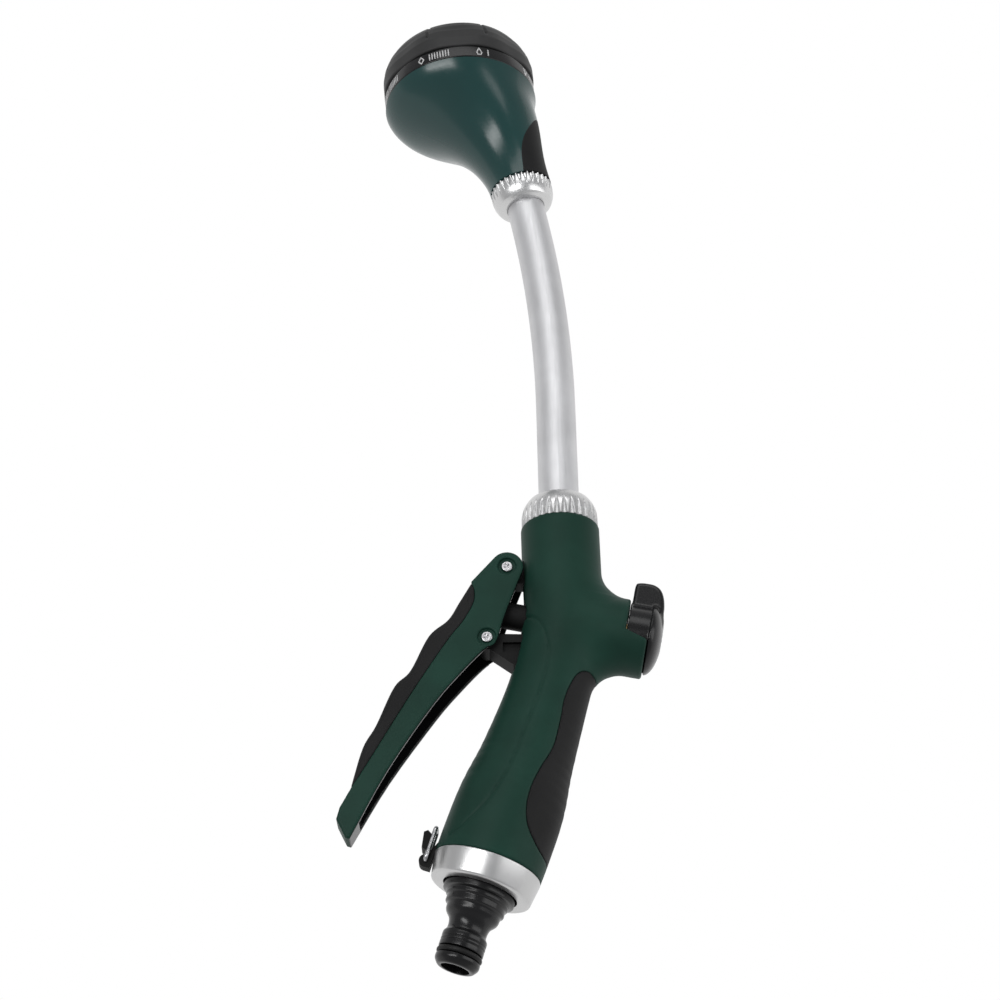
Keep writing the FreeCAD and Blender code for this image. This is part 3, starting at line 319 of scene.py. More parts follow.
def lathe(name, base, axis, profile, body, replaces=(), slot="", radius=0.3, segments=128, shape=None):
    """A closed profile turned round an axis; shape may change the radius by angle and height."""
    line = rounded(profile, radius)
    rows = len(line)
    turn = np.arange(segments) / segments * 2 * math.pi
    angle, r = np.meshgrid(turn, line[:, 0], indexing="ij")
    _, height = np.meshgrid(turn, line[:, 1], indexing="ij")
    if shape is not None:
        r, height = shape(r, angle, height)
    points = axis_points(base, axis, r.ravel(), angle.ravel(), height.ravel())
    i, j = np.meshgrid(np.arange(segments), np.arange(rows), indexing="ij")
    i, j = i.ravel(), j.ravel()
    next_i, next_j = (i + 1) % segments, (j + 1) % rows
    faces = np.stack([i * rows + j, next_i * rows + j, next_i * rows + next_j, i * rows + next_j], -1)
    area = np.sum(line[:, 0] * np.roll(line[:, 1], -1) - np.roll(line[:, 0], -1) * line[:, 1])
    if area < 0:
        faces = faces[:, ::-1]
    return mesh_object(name, points, faces, body, (), replaces, slot)


# ---------------------------------------------------------------- materials

def new_material(name, colour, rough, metallic=0.0, specular=0.5):
    """A Principled material, with its tree, its shader and a texture coordinate node."""
    mat = bpy.data.materials.new(name)
    mat.use_nodes = True
    tree = mat.node_tree
    shader = tree.nodes["Principled BSDF"]
    values = {"Base Color": (*colour, 1.0), "Roughness": rough, "Metallic": metallic,
              "Specular IOR Level": specular}
    for key, value in values.items():
        shader.inputs[key].default_value = value
    return mat, tree, shader, tree.nodes.new("ShaderNodeTexCoord")


def noise(tree, coords, scale, detail=4.0, rough=0.5, stretch=(1, 1, 1)):
    """Noise over the object's own coordinates, at so many features a metre."""
    mapping = tree.nodes.new("ShaderNodeMapping")
    mapping.inputs["Scale"].default_value = stretch
    tree.links.new(coords.outputs["Object"], mapping.inputs["Vector"])
    node = tree.nodes.new("ShaderNodeTexNoise")
    node.inputs["Scale"].default_value = scale
    node.inputs["Detail"].default_value = detail
    node.inputs["Roughness"].default_value = rough
    tree.links.new(mapping.outputs["Vector"], node.inputs["Vector"])
    return node.outputs["Fac"]


def spread(tree, value, low, high):
    """The middle of the noise's range spread over low to high."""
    node = tree.nodes.new("ShaderNodeMapRange")
    node.inputs["From Min"].default_value = 0.3
    node.inputs["From Max"].default_value = 0.7
    node.inputs["To Min"].default_value = low
    node.inputs["To Max"].default_value = high
    tree.links.new(value, node.inputs["Value"])
    return node.outputs["Result"]


def vary_colour(tree, shader, value, first, second):
    mix = tree.nodes.new("ShaderNodeMix")
    mix.data_type = "RGBA"
    mix.inputs["A"].default_value = (*first, 1)
    mix.inputs["B"].default_value = (*second, 1)
    tree.links.new(value, mix.inputs["Factor"])
    tree.links.new(mix.outputs["Result"], shader.inputs["Base Color"])


def bump(tree, shader, value, strength, distance):
    node = tree.nodes.new("ShaderNodeBump")
    node.inputs["Strength"].default_value = strength
    node.inputs["Distance"].default_value = distance
    tree.links.new(value, node.inputs["Height"])
    tree.links.new(node.outputs["Normal"], shader.inputs["Normal"])


def moulded(name, colour, rough, grain=2500.0, depth=0.00002, tint=0.18, **more):
    """Moulded plastic or rubber: a fine grain, broad soft changes of colour and of gloss."""
    mat, tree, shader, coords = new_material(name, colour, rough, **more)
    broad = noise(tree, coords, 45.0, 3.0)
    low = tuple(c * (1 - tint) for c in colour)
    high = tuple(min(1.0, c * (1 + tint)) for c in colour)
    vary_colour(tree, shader, spread(tree, broad, 0.0, 1.0), low, high)
    fine = noise(tree, coords, grain, 5.0, 0.6)
    tree.links.new(spread(tree, fine, rough - 0.05, rough + 0.05), shader.inputs["Roughness"])
    bump(tree, shader, fine, 0.6, depth)
    return mat


def metal(name, colour, rough, along=(1, 1, 1), scale=2200.0, depth=0.000001):
    """Metal with fine lines drawn out along one direction."""
    mat, tree, shader, coords = new_material(name, colour, rough, metallic=1.0)
    lines = noise(tree, coords, scale, 3.0, 0.6, along)
    broad = noise(tree, coords, 60.0, 3.0)
    low = tuple(c * 0.93 for c in colour)
    high = tuple(min(1.0, c * 1.05) for c in colour)
    vary_colour(tree, shader, spread(tree, broad, 0.0, 1.0), low, high)
    tree.links.new(spread(tree, lines, rough - 0.06, rough + 0.08), shader.inputs["Roughness"])
    bump(tree, shader, lines, 0.5, depth)
    return mat


MATS = {
    "soft_green": moulded("soft_green", (0.0068, 0.0310, 0.0215), 0.50, 2600, 0.00001, specular=0.12),
    "gloss_green": moulded("gloss_green", (0.0050, 0.0350, 0.0335), 0.22, 900, 0.0000006,
                           tint=0.06, specular=0.42),
    "rubber_black": moulded("rubber_black", (0.0100, 0.0100, 0.0102), 0.58, 3000, 0.00002, specular=0.12),
    "dial_rubber": moulded("dial_rubber", (0.0180, 0.0180, 0.0182), 0.52, 3000, 0.00002, specular=0.30),
    "black_plastic": moulded("black_plastic", (0.0050, 0.0050, 0.0055), 0.24, 1800, 0.0000015, specular=0.30),
    "black_matte": moulded("black_matte", (0.0060, 0.0060, 0.0060), 0.60, 3000, 0.00002, specular=0.12),
    "aluminium_satin": metal("aluminium_satin", (0.60, 0.60, 0.61), 0.50, (1, 0.04, 1)),
    "nut_metal": metal("nut_metal", (0.60, 0.60, 0.60), 0.30),
    "collar_metal": metal("collar_metal", (0.52, 0.52, 0.52), 0.34),
    "steel": metal("steel", (0.50, 0.50, 0.51), 0.28),
    "seal_rubber": moulded("seal_rubber", (0.008, 0.008, 0.008), 0.5, specular=0.2),
    "brass": metal("brass", (0.55, 0.40, 0.19), 0.35),
    "white_print": moulded("white_print", (0.45, 0.45, 0.45), 0.5, 2500, 0.000002,
                           tint=0.04, specular=0.1),
}

for node in NODES.values():
    for material_slot in node.material_slots:
        material_slot.material = MATS[material_slot.material.name.split(".")[0]]


# ---------------------------------------------------------------- handle

GRIP_ROWS = [(-0.12, 0.0, 19.8), (0.0, 0.0, 19.9), (0.096, 0.3, 20.1), (0.26, 0.9, 19.83), (0.435, 1.3, 17.65),
             (0.686, 1.5, 15.8), (0.872, 0.7, 15.4)]
SPINE = [(*(on_grip(share, 0)[:2] + (lean, 0)), radius) for share, lean, radius in GRIP_ROWS]
SPINE += [(TOP[0] + 0.25, TOP[1] - 37.8, 15.4), (TOP[0] + 0.13, TOP[1] - 19.8, 15.4), (TOP[0], TOP[1], 15.4),
          (TOP[0], TOP[1] + 8, 15.4)]
SPINE = smooth_line(SPINE, 4)
BOSS_RADIUS = 14.7
BOSS_DROP = 0.4
BOSS_END = 32.6
NOTCH_FLOOR = 24.0
NOTCH_LEAN = math.radians(103)
WALL = 2.6
BARREL_BORE = 12.05
VALVE_BORES = ((12.8, NOTCH_FLOOR, 99), (11.4, 0, 99), (5.6, -30, 0))  # radius, from, to
CREASE_DEPTH = 0.5
CREASE_WIDTH = 0.42
INLAY_DEPTH = 1.5

INLAY_BORDER = smooth_line([on_grip(*place)[:2] for place in (
    (0.060, 24.0), (0.070, 19.9), (0.091, 15.7), (0.140, 10.9), (0.200, 8.4), (0.279, 7.6),
    (0.374, 8.5), (0.480, 10.4), (0.593, 9.9), (0.694, 8.9), (0.793, 10.1), (0.837, 12.8),
    (0.842, 16.4), (0.821, 20.2), (0.780, 25.8))])
INLAY_REGION = np.vstack([INLAY_BORDER, [on_grip(0.70, 45)[:2], on_grip(0.03, 45)[:2]]])
CREASE = smooth_line(TOP[:2] + np.array([(-16.6, -39.6), (-13.2, -41.8), (-9.4, -45.6), (-6.8, -53.6),
                                          (-6.6, -62.5), (-10.3, -76.0), (-16.2, -91.4), (-21.9, -105.8),
                                          (-29.6, -118.3), (-38.7, -126.6), (-43.0, -129.0)]), 5)


def sweep(points):
    """Distance to the round grip and barrel, and the direction away from their spine."""
    best = np.full(len(points), 1e9)
    normal = np.zeros((len(points), 3))
    for a, b in zip(SPINE, SPINE[1:]):
        run = b[:2] - a[:2]
        share = np.clip(((points[:, :2] - a[:2]) @ run) / (run @ run), 0, 1)
        away = np.empty((len(points), 3))
        away[:, :2] = points[:, :2] - a[:2] - share[:, None] * run
        away[:, 2] = points[:, 2]
        length = np.sqrt(np.einsum("ij,ij->i", away, away))
        gap = length - (a[2] + share * (b[2] - a[2]))
        closer = gap < best
        best = np.where(closer, gap, best)
        normal[closer] = away[closer] / np.maximum(length[closer], 1e-6)[:, None]
    return best, normal


def handle_outside(points):
    """Grip, barrel and rear boss as one skin, before anything is cut out of it; and the bare grip."""
    grip, grip_normal = sweep(points)
    along, left, up = local(points, VALVE, VALVE_AXIS)
    left = left + BOSS_DROP
    reach = np.sqrt(left ** 2 + up ** 2)
    side = np.array((-VALVE_AXIS[1], VALVE_AXIS[0], 0.0))
    outward = left[:, None] * side + up[:, None] * np.array((0, 0, 1.0))
    boss_normal = outward / np.maximum(reach, 1e-6)[:, None]
    boss = np.maximum(reach - BOSS_RADIUS, 4 - along)
    facing = np.einsum("ij,ij->i", grip_normal, boss_normal)
    fillet = 12.0 * np.clip(1 - facing, 0, 1) ** 0.8
    skin = np.where(along > 0, join(grip, boss, fillet), grip)
    crease = to_line(points[:, :2], CREASE)
    groove = CREASE_DEPTH * np.exp(-(crease / CREASE_WIDTH) ** 2) * (np.abs(points[:, 2]) > 3)
    skin = skin + groove
    bottom = COLLAR_TOP + 0.05 - points @ INLET_AXIS
    skin = meet(skin, bottom, 0.4)
    skin = meet(skin, points[:, 1] - TOP[1], 1.0)
    skin = meet(skin, along - BOSS_END, 1.0)
    edge = (math.cos(NOTCH_LEAN) * np.abs(up) - math.sin(NOTCH_LEAN) * left
            - 0.3 * (along - NOTCH_FLOOR - 1.6))
    notch = np.maximum(edge, NOTCH_FLOOR - along)
    return meet(skin, -notch, 0.9), grip


def handle_field(points):
    """The skin less its hollow, the bores, the trigger's pocket and the inlay's bed."""
    skin, grip = handle_outside(points)
    along, left, up = local(points, VALVE, VALVE_AXIS)
    reach = np.sqrt(left ** 2 + up ** 2)
    hollow = np.maximum(grip + WALL, points[:, 1] - TOP[1] + WALL)
    for radius, low, high in VALVE_BORES:
        hollow = np.minimum(hollow, np.maximum(reach - radius, np.maximum(low - along, along - high)))
    hollow = np.minimum(hollow, round_bar(points, TOP, BARREL_AXIS, -6, 9, BARREL_BORE))
    bracket = np.stack([points[:, 0] - TOP[0] + 8, np.abs(points[:, 1] - PIVOT[1]) - 4.9,
                        np.abs(points[:, 2]) - 3.9], -1).max(1)
    pocket = np.maximum(polygon(points[:, :2], LINK[:2] + np.array(
        [(-3, 3.6), (21, 3.4), (21, -14), (8, -12), (-3, -6)])), np.abs(points[:, 2]) - 5.4)
    hollow = np.minimum(hollow, np.minimum(bracket, pocket))
    inlay = np.maximum(polygon(points[:, :2], INLAY_REGION), -(skin + INLAY_DEPTH))
    return meet(np.maximum(skin, -hollow), -inlay, 0.25)


def inlay_field(points):
    skin, _ = handle_outside(points)
    region = polygon(points[:, :2], INLAY_REGION) + 0.05
    return meet(meet(skin, region, 0.3), -(skin + INLAY_DEPTH - 0.05), 0.1)


HANDLE_SPACE = ((-12, 28, -21), (80, 177, 21))
INLAY_SPACE = ((-4, 28, -21), (66, 120, 21))
sculpt("handle", handle_field, *HANDLE_SPACE, 0.7, "frame", ["handle_shell"], "soft_green")
sculpt("grip_rubber", inlay_field, *INLAY_SPACE, 0.6, "frame", ["grip_inlay"], "rubber_black")


# ---------------------------------------------------------------- trigger

HALF = 9.5
LEVER_WALL = 2.1
LOBE = 6.3
TAIL = np.array((-0.52, -0.854))
TAPER_START = 62
TAPER_RUN = 62
TAPER = 4.4
PIN_HOLE = 1.76
PIN_SEAT = 3.55
SEAT_DEPTH = 1.2
PAD_BORDER = np.array([(-13.9, -6.3), (-12.6, -10.2), (-13.1, -15.5), (-17.1, -23.1), (-23.3, -31.5),
                       (-36.3, -52.2), (-51.7, -78.0), (-59.0, -89.4)])
PAD_OUTER = np.array([(-13.9, -6.3), (-18.6, -14.5), (-22.9, -21.8), (-30.2, -28.5), (-37.1, -42.7),
                      (-43.1, -49.2), (-49.7, -64.3), (-54.5, -73.0), (-59.0, -89.4)])
INNER_EDGE = np.array([(6.1, -1.6), (3.3, -8.8), (-1.2, -20.8), (-4.0, -30.2)])
LOWER_EDGE = np.array([(-5.6, -32.3), (-9.5, -35.2), (-17.2, -43.4), (-27.9, -56.5), (-45.0, -82.0),
                       (-58.6, -107.2)])
TIP = [(-60.2, -106.6), (-63.6, -99.6), (-62.4, -95.4)]


def lever_outline(side):
    """The lever seen from +Z: round its pivot, along its edges to the tip, and back up the given side."""
    turn = np.radians(np.linspace(138, -15, 16))
    lobe = LOBE * np.stack([np.cos(turn), np.sin(turn)], -1)
    return PIVOT[:2] + np.vstack([lobe, smooth_line(INNER_EDGE, 4)[1:], smooth_line(LOWER_EDGE, 4), TIP,
                                  smooth_line(side, 6)[::-1]])


def lever_half(points):
    """Half the lever's width, which narrows towards the tip."""
    along = (points[:, :2] - PIVOT[:2]) @ TAIL
    share = np.clip((along - TAPER_START) / TAPER_RUN, 0, 1)
    return HALF - TAPER * share ** 1.4


LEVER = lever_outline(PAD_BORDER)
LEVER_AND_PAD = lever_outline(PAD_OUTER)
LEVER_CHANNEL = PIVOT[:2] + np.vstack([
    smooth_line([(-9.3, 3.0), (-10.8, -4.8)] + [tuple(p + (1.75, -1.0)) for p in PAD_BORDER[1:]], 4),
    [(-54, -108), (10, -60), (16, 4), (4, 14), (-6, 10.5)]])


def lever_solid(points, flat, radius):
    half = lever_half(points)
    return extruded(flat, points[:, 2] * HALF / half, HALF, radius)


def lever_field(points):
    solid = lever_solid(points, polygon(points[:, :2], LEVER_AND_PAD), 0.9)
    solid = np.maximum(solid, polygon(points[:, :2], LEVER))
    channel = np.maximum(polygon(points[:, :2], LEVER_CHANNEL),
                         np.abs(points[:, 2]) - lever_half(points) + LEVER_WALL)
    solid = meet(solid, -channel, 0.35)
    for centre in (PIVOT, LINK):
        reach = np.hypot(points[:, 0] - centre[0], points[:, 1] - centre[1])
        seat = np.maximum(reach - PIN_SEAT, HALF - SEAT_DEPTH - np.abs(points[:, 2]))
        solid = meet(solid, -seat, 0.25)
        solid = np.maximum(solid, PIN_HOLE - reach)
    return solid


def lever_paint(centres, normals):
    """The faces inside the channel, and those on the lever's inner edges that turn towards the grip, take the
    black material.
    """
    inner = to_line(centres[:, :2], PIVOT[:2] + smooth_line(np.vstack([INNER_EDGE, LOWER_EDGE]), 3))
    rim = (inner < 1.0) & (np.abs(normals[:, 2]) < 0.55) & (normals[:, 0] > 0.2)
    channel_inside = (np.abs(centres[:, 2]) < lever_half(centres) - LEVER_WALL + 0.1) & (
        polygon(centres[:, :2], LEVER) < -0.15)
    return (rim | channel_inside).astype(int)


sculpt("trigger", lever_field, PIVOT + (-67, -110, -10.2), PIVOT + (8.5, 8.5, 10.2), 0.5, "trigger",
       ["trigger_lever"], "soft_green", ("soft_green", "black_plastic"), lever_paint)

PAD_WAVE = PIVOT[:2] + smooth_line(PAD_OUTER, 6)
PAD = np.vstack([PAD_WAVE, PIVOT[:2] + smooth_line(PAD_BORDER, 6)[::-1][1:-1]])


def pad_field(points):
    flat = polygon(points[:, :2], PAD) + 0.03
    crown = polygon(points[:, :2], LEVER_AND_PAD)
    upright = points[:, 2] * HALF / lever_half(points)
    return meet(extruded(crown, upright, HALF - 0.1, 2.4), flat, 0.25)


sculpt("trigger_grip", pad_field, PIVOT + (-64, -93, -10.2), PIVOT + (-10, -4, 10.2), 0.5, "trigger",
       ["trigger_pad"], "rubber_black")


PIN_RADIUS = 1.7
PIN_HEAD = 2.1
CROSS_HALF = 0.3
CROSS_REACH = 1.25
CROSS_TURN = math.radians(35)


def pin_field(centre):
    """A pin along Z with a head at each end and a cross cut into both heads."""
    def field(points):
        x, y = points[:, 0] - centre[0], points[:, 1] - centre[1]
        z = np.abs(points[:, 2])
        reach = np.hypot(x, y)
        shank = np.maximum(reach - PIN_RADIUS, z - HALF + 0.4)
        head = meet(reach - PIN_HEAD, np.maximum(z - HALF + 0.2, HALF - 1.0 - z), 0.3)
        u = np.abs(x * math.cos(CROSS_TURN) + y * math.sin(CROSS_TURN))
        v = np.abs(y * math.cos(CROSS_TURN) - x * math.sin(CROSS_TURN))
        cross = np.minimum(np.maximum(u - CROSS_HALF, v - CROSS_REACH),
                           np.maximum(v - CROSS_HALF, u - CROSS_REACH))
        cross = np.maximum(cross, HALF - 0.75 - z)
        return meet(np.minimum(shank, head), -cross, 0.08)
    return field


PIN_REACH = np.array((2.6, 2.6, 9.8))
for pin_name, pin_node, pin_centre, pin_body in (("upper_pin", "trigger_pivot_pin", PIVOT, "frame"),
                                                 ("lower_pin", "link_pin", LINK, "trigger")):
    sculpt(pin_name, pin_field(pin_centre), pin_centre - PIN_REACH, pin_centre + PIN_REACH, 0.14,
           pin_body, [pin_node], "steel")


# ---------------------------------------------------------------- flow knob

HUB_RADIUS = 12.4
HUB_LOW = 24.55
HUB_TOP = 34.0
CAP_RADIUS = 13.35
CAP_LOW = 32.95
CAP_RISE = 5.3
PADDLE_HALF = 6.5
STEM_SOCKET = (5.06, 34.3)  # radius, depth
STEM_TIP = (3.25, 33.0)
PADDLE_CORNERS = smooth_line([(8.0, 24.6), (14.0, 24.6), (19.6, 24.7), (20.9, 25.9), (21.3, 29.0),
                              (21.0, 32.2), (19.2, 34.8), (15.2, 36.5), (9.5, 37.2), (4.0, 36.8),
                              (4.0, 26.0)], 5, True)


def knob_field(points):
    """A round hub under a low domed cap, with a paddle to one side for the thumb."""
    along, left, up = local(points, VALVE, VALVE_AXIS)
    reach = np.sqrt(left ** 2 + up ** 2)
    hub = np.maximum(reach - HUB_RADIUS, np.maximum(HUB_LOW - along, along - HUB_TOP))
    rise = np.maximum(along - CAP_LOW + 0.05, 0) / CAP_RISE
    dome = np.sqrt((reach / (CAP_RADIUS + 0.05)) ** 2 + rise ** 2) * 9 - 9
    face = meet(np.maximum(dome, reach - CAP_RADIUS), CAP_LOW - along, 0.5)
    knob = np.minimum(hub, face)
    flat = polygon(np.stack([left, along], -1), PADDLE_CORNERS)
    paddle = extruded(flat, up, PADDLE_HALF, 1.5)
    ledge = np.hypot(left - 10.6, np.minimum(along - 37.2, 0)) - 0.55
    knob = join(knob, paddle, 1.0)
    knob = meet(knob, -np.maximum(ledge, np.abs(up) - 5.2), 0.3)
    trough = np.hypot(left - 9.0, up - 6.9) - 0.75
    knob = meet(knob, -np.maximum(trough, np.abs(along - 31) - 4.6), 0.3)
    bore = np.maximum(reach - STEM_SOCKET[0], along - STEM_SOCKET[1])
    recess = np.maximum(reach - STEM_TIP[0], STEM_TIP[1] - along)
    return np.maximum(knob, -np.minimum(bore, recess))


knob_low, knob_high = box_mm("flow_knob")
sculpt("knob", knob_field, knob_low - 1.5, knob_high + 1.5, 0.4, "flow_control", ["flow_knob"],
       "black_plastic")


# ---------------------------------------------------------------- inlet

NIPPLE = [(5.25, 0.0), (6.7, 0.0, 0.8), (8.2, 1.9, 1.2), (8.2, 3.6, 0.25), (6.3, 3.6), (6.3, 6.4),
          (8.2, 6.4, 0.3), (8.2, 8.3, 0.15), (7.9, 8.6, 0.15), (8.2, 8.9, 0.15), (8.2, 9.6, 0.15),
          (7.9, 9.9, 0.15), (8.2, 10.2, 0.15), (8.2, 11.8, 0.5), (7.2, 13.1, 0.8), (7.2, 15.2, 1.0),
          (7.7, 17.2, 1.2), (9.8, 19.4, 1.2), (10.0, 22.0, 1.2), (10.9, 22.6, 0.3), (10.9, 24.8, 0.3),
          (11.6, 25.3, 0.3), (11.6, 26.6, 0.3), (13.2, 27.0, 0.3), (13.2, 36.5), (9.0, 36.5),
          (9.0, 50.3), (5.25, 50.3)]
lathe("hose_nipple", np.zeros(3), INLET_AXIS, NIPPLE, "frame", ["inlet_nipple"], "black_plastic", 0.2, 144)
COLLAR = [(13.8, 29.05, 0.3), (17.6, 29.0, 0.8), (18.6, 29.5, 0.5), (19.95, 38.0, 0.25), (19.7, 38.3, 0.1),
          (17.3, 38.3), (17.3, 31.4), (13.8, 31.4)]
lathe("collar", np.zeros(3), INLET_AXIS, COLLAR, "frame", ["inlet_collar"], "collar_metal", 0.2, 192)


# ---------------------------------------------------------------- union nuts

NUT_ARCHES = 32
NUT_CORE = 10.9  # the arches are cut only outside this radius


def arched(count, length, depth, low):
    """Pointed arches cut round a nut: wide at its foot and narrowing to a point up its side."""
    def shape(radius, angle, height):
        place = (angle * count / (2 * math.pi)) % 1.0 - 0.5
        rise = np.clip((height - low) / length, 0, 1)
        half = 0.42 * (1 - rise ** 1.3)
        inside = np.clip(1 - (np.abs(place) / np.maximum(half, 1e-3)) ** 2, 0, 1)
        outer = radius > NUT_CORE
        fade = np.clip((1 - rise) * 1.8, 0, 1)
        return radius - np.where(outer, depth * inside ** 0.6 * fade, 0), height
    return shape


def nut_profile(thread, outer, tall, seat, bore):
    """Half a union nut's section: threaded below, domed above, closed round the pipe's bore."""
    rows = [(thread, 0.05, 0.05), (outer - 0.3, 0.05, 0.1)]
    for share in np.linspace(0, 1, 26):
        dome = max(0.0, share - 0.30) / 0.70
        rows.append((outer - (outer - bore - 2.3) * dome ** 2.3 * 0.62, 0.35 + share * (tall - 1.5), 0.01))
    rows += [(bore + 2.4, tall - 0.5, 0.3), (bore + 1.0, tall, 0.3), (bore, tall, 0.2), (bore, seat),
             (thread, seat)]
    return rows


NECK_BASE = DIAL + np.array((25.8, -46.5, 0.0))
lathe("lower_union", TOP, BARREL_AXIS, nut_profile(12.05, 15.0, 12.8, 9.15, 8.05), "frame", ["lower_nut"],
      "nut_metal", 0.2, 448, arched(NUT_ARCHES, 8.6, 0.85, 0.0))
lathe("upper_union", NECK_BASE, -NECK_AXIS, nut_profile(10.25, 13.3, 10.3, 6.9, 8.05), "frame", ["upper_nut"],
      "nut_metal", 0.2, 448, arched(NUT_ARCHES, 6.6, 0.75, 0.0))


# ---------------------------------------------------------------- dial

DIAL_THICK = 23.2
LOBES = 8
HOLLOW_DEPTH = 0.8
NOTCH_HALF = 0.75
GRIP_RADIUS = 34.0


def lobed(radius, angle, height):
    """Shallow finger hollows round the rubber ring, and a short radial notch between each two."""
    turn = (angle * LOBES / (2 * math.pi)) % 1.0
    hollow = HOLLOW_DEPTH * (0.5 + 0.5 * np.cos(2 * math.pi * turn)) ** 1.5
    side = np.clip((radius - 29.2) / 1.0, 0, 1)
    away = np.abs(turn - 0.5) * 2 * math.pi / LOBES * GRIP_RADIUS
    notch = np.clip(1 - (away / NOTCH_HALF) ** 2, 0, 1)
    front = np.clip((height - DIAL_THICK + 9.5) / 1.0, 0, 1)
    return radius - side * (hollow * np.clip((DIAL_THICK - height) / 6, 0, 1) + notch * front), height


GRIP_RING = [(31.45, 6.7, 0.1), (33.6, 6.7, 0.15), (34.1, 7.1, 0.3), (34.2, 12.2, 1.5),
             (33.4, 16.2, 1.5), (32.0, 19.8, 1.2), (30.2, 22.6, 0.8), (29.5, 23.1, 0.3),
             (27.9, 23.1, 0.3), (27.9, 17.9), (31.45, 17.9)]


def densified(profile, gap):
    """Extra points along a profile's long sides, so that a shape worked into it stays smooth."""
    rows = []
    for here, after in zip(profile, profile[1:] + profile[:1]):
        rows.append(here)
        a, b = np.array(here[:2]), np.array(after[:2])
        pieces = int(np.linalg.norm(b - a) / gap)
        rows += [(*(a + (b - a) * i / (pieces + 1)), 0.01) for i in range(1, pieces + 1)]
    return rows


dial_rubber = lathe("dial_rubber", DIAL, DIAL_AXIS, densified(GRIP_RING, 0.9), "dial", ["dial_grip"],
                    "rubber_black", 0.3, 720, lobed)
dial_rubber.data.materials[0] = MATS["dial_rubber"]
LABEL_RADIUS = 33.3
LABEL_RING = [(29.4, 0.4), (33.0, 0.4, 0.25), (LABEL_RADIUS, 0.8, 0.3), (LABEL_RADIUS, 6.0, 0.3),
              (33.0, 6.4, 0.2), (31.3, 6.4, 0.1), (31.3, 17.5, 0.1), (27.6, 17.5), (27.6, 5.4),
              (29.4, 5.4)]
lathe("label_ring", DIAL, DIAL_AXIS, LABEL_RING, "dial", ["dial_ring"], "black_plastic", 0.2, 256)


# ---------------------------------------------------------------- spray marks on the label ring

def ring_strokes(strokes, size, thick):
    """Strokes, given as points in a unit square, as thin bars lying on the label ring."""
    bars = []
    for start, *rest in strokes:
        for end in rest:
            a, b = np.array(start, float) * size, np.array(end, float) * size
            run = (b - a) / np.linalg.norm(b - a)
            across = np.array((-run[1], run[0])) * thick / 2
            a, b = a - run * thick / 3, b + run * thick / 3
            bars.append((a + across, a - across, b - across, b + across))
            start = end
    return bars


def circle_stroke(x, y, radius, sides=10):
    turn = np.linspace(0, 2 * math.pi, sides + 1)
    return [(x + radius * math.cos(t), y + radius * math.sin(t)) for t in turn]


DROP = [[(0.5, 1.0), (0.85, 0.4), (0.72, 0.1), (0.28, 0.1), (0.15, 0.4), (0.5, 1.0)]]
RAYS = [[(0.5, 0.05), (0.5, 0.95)], [(0.4, 0.05), (0.05, 0.85)], [(0.6, 0.05), (0.95, 0.85)]]
TARGET = [circle_stroke(0.5, 0.5, 0.42), [(0.5, 0.4), (0.5, 0.6)]]
DIAMOND = [[(0.5, 0.05), (0.9, 0.5), (0.5, 0.95), (0.1, 0.5), (0.5, 0.05)]]
SIGNS = [DROP, RAYS, TARGET, DIAMOND]
TICK = [[(0.5, 0.1), (0.5, 0.9)]]
STROKE = 0.55
PRINT_HALF = 0.06  # the print reaches this far above and below the ring's face
SIGN_WIDE = 3.2
TICK_WIDE = 1.2
MARK_TALL = 3.9
MARK_LOW = 1.4
SIGN_TURN = math.radians(7)
TICK_TURN = math.radians(2.1)
mark_points, mark_faces = [], []


def add_mark(strokes, centre, wide, tall, low):
    """One sign on the ring: centre is its angle round the dial from +Z towards +X."""
    for bar in ring_strokes(strokes, np.array((wide, tall)), STROKE):
        base = len(mark_points)
        for radius in (LABEL_RADIUS - PRINT_HALF, LABEL_RADIUS + PRINT_HALF):
            for corner in bar:
                angle = math.pi / 2 + centre + (corner[0] - wide / 2) / LABEL_RADIUS
                mark_points.append(axis_points(DIAL, DIAL_AXIS, radius, angle, low + corner[1]))
        top = [base + 4 + i for i in range(4)]
        bottom = [base + i for i in range(4)]
        mark_faces.append(top)
        mark_faces.append(bottom[::-1])
        for i in range(4):
            mark_faces.append([bottom[i], bottom[(i + 1) % 4], top[(i + 1) % 4], top[i]])


for sector in range(LOBES):
    middle = math.radians((sector + 0.5) * 360 / LOBES)
    add_mark(SIGNS[sector % len(SIGNS)], middle - SIGN_TURN, SIGN_WIDE, MARK_TALL, MARK_LOW)
    for order in range(sector + 1):
        add_mark(TICK, middle + order * TICK_TURN, TICK_WIDE, MARK_TALL, MARK_LOW)
mesh_object("dial_marks", np.array(mark_points), np.array(mark_faces), "dial", ("white_print",))


# ---------------------------------------------------------------- camera, floor and light

CAMERA_PLACE = (0.0146, -0.1986, 0.6932)
CAMERA_TILT, CAMERA_ROLL, CAMERA_PAN = 29.169, 0.1547, -0.8996  # degrees about X, Y and Z
LENS = 72
SENSOR = 36

camera = bpy.data.objects.new("camera", bpy.data.cameras.new("camera"))
camera.data.lens = LENS
camera.data.sensor_width = SENSOR
camera_turn = Euler([math.radians(turn) for turn in (CAMERA_TILT, CAMERA_ROLL, CAMERA_PAN)])
camera.matrix_world = Matrix.LocRotScale(Vector(CAMERA_PLACE), camera_turn, None)
camera.data.clip_start = 0.01
bpy.context.collection.objects.link(camera)
bpy.context.scene.camera = camera

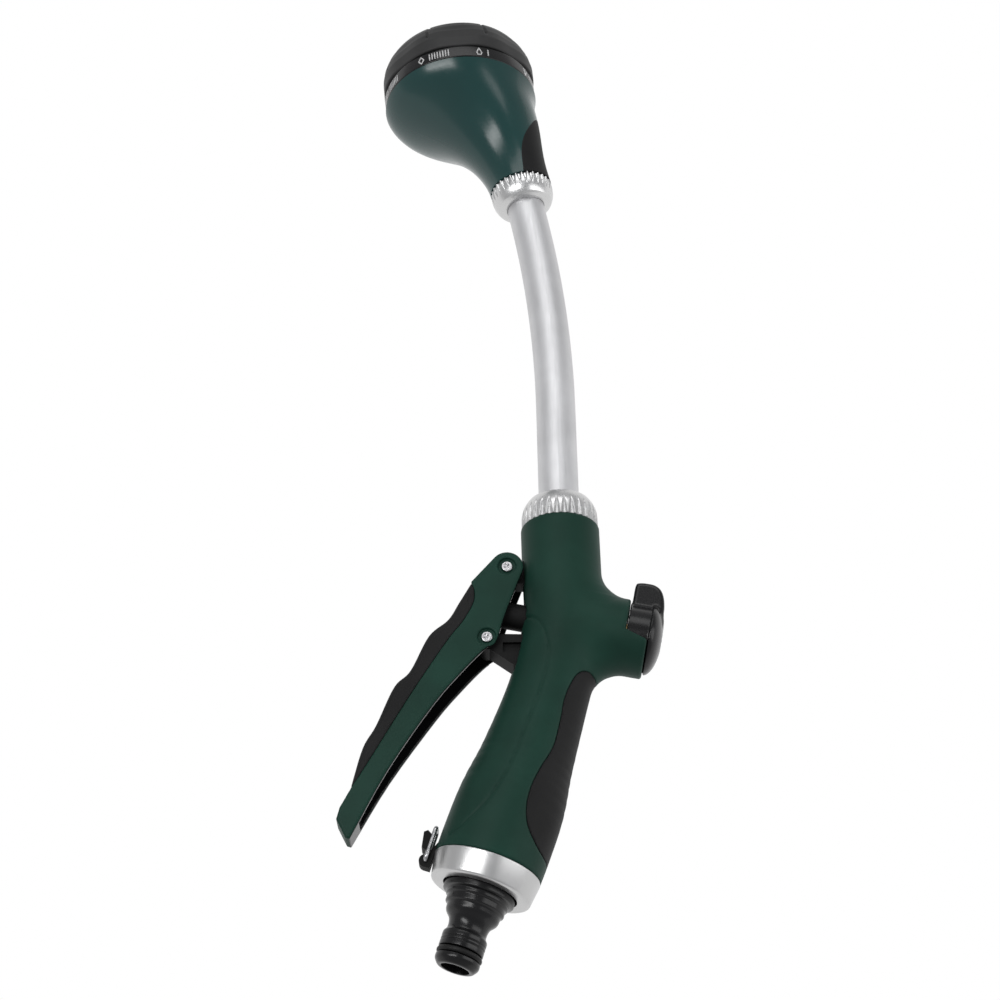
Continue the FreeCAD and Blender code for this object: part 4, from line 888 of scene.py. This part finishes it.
FLOOR_HALF = 6.0
FLOOR_GLOW = 1.0
SKY_STRENGTH = 0.8
floor_height = min(box_mm(node)[0][2] for node in NODES) * MM
corner_signs = ((-1, -1), (1, -1), (1, 1), (-1, 1))
floor_mesh = bpy.data.meshes.new("floor")
floor_mesh.from_pydata([(x * FLOOR_HALF, y * FLOOR_HALF, floor_height) for x, y in corner_signs],
                       [], [(0, 1, 2, 3)])
floor = bpy.data.objects.new("floor", floor_mesh)
bpy.context.collection.objects.link(floor)
white, _, shader, _ = new_material("floor", (0.0, 0.0, 0.0), 0.9, specular=0.0)
shader.inputs["Emission Color"].default_value = (1, 1, 1, 1)
shader.inputs["Emission Strength"].default_value = FLOOR_GLOW
floor.data.materials.append(white)

world = bpy.data.worlds.new("world")
bpy.context.scene.world = world
world.use_nodes = True
sky = world.node_tree
backdrop = sky.nodes["Background"]
backdrop.inputs["Strength"].default_value = SKY_STRENGTH
direction = sky.nodes.new("ShaderNodeTexCoord")
split = sky.nodes.new("ShaderNodeSeparateXYZ")
sky.links.new(direction.outputs["Generated"], split.inputs["Vector"])
ramp = sky.nodes.new("ShaderNodeValToRGB")
ramp.color_ramp.elements[0].position = 0.0
ramp.color_ramp.elements[0].color = (0.75, 0.75, 0.76, 1)
ramp.color_ramp.elements[1].position = 1.0
ramp.color_ramp.elements[1].color = (0.45, 0.46, 0.47, 1)
sky.links.new(split.outputs["Z"], ramp.inputs["Fac"])
sky.links.new(ramp.outputs["Color"], backdrop.inputs["Color"])


def area_light(name, place, target, size, power):
    light = bpy.data.lights.new(name, "AREA")
    light.shape = "RECTANGLE"
    light.size, light.size_y = size
    light.energy = power
    obj = bpy.data.objects.new(name, light)
    obj.location = place
    obj.rotation_euler = (Vector(target) - Vector(place)).to_track_quat("-Z", "Y").to_euler()
    bpy.context.collection.objects.link(obj)


MIDDLE = (0.03, 0.2, 0)
area_light("key_light", (-0.55, 0.15, 1.2), MIDDLE, (0.35, 0.9), 8)
area_light("fill_light", (0.95, 0.1, 0.6), MIDDLE, (0.5, 1.2), 4)
area_light("top_light", (0.0, 1.3, 1.3), MIDDLE, (1.4, 0.7), 7)
bpy.context.scene.view_settings.view_transform = "Standard"
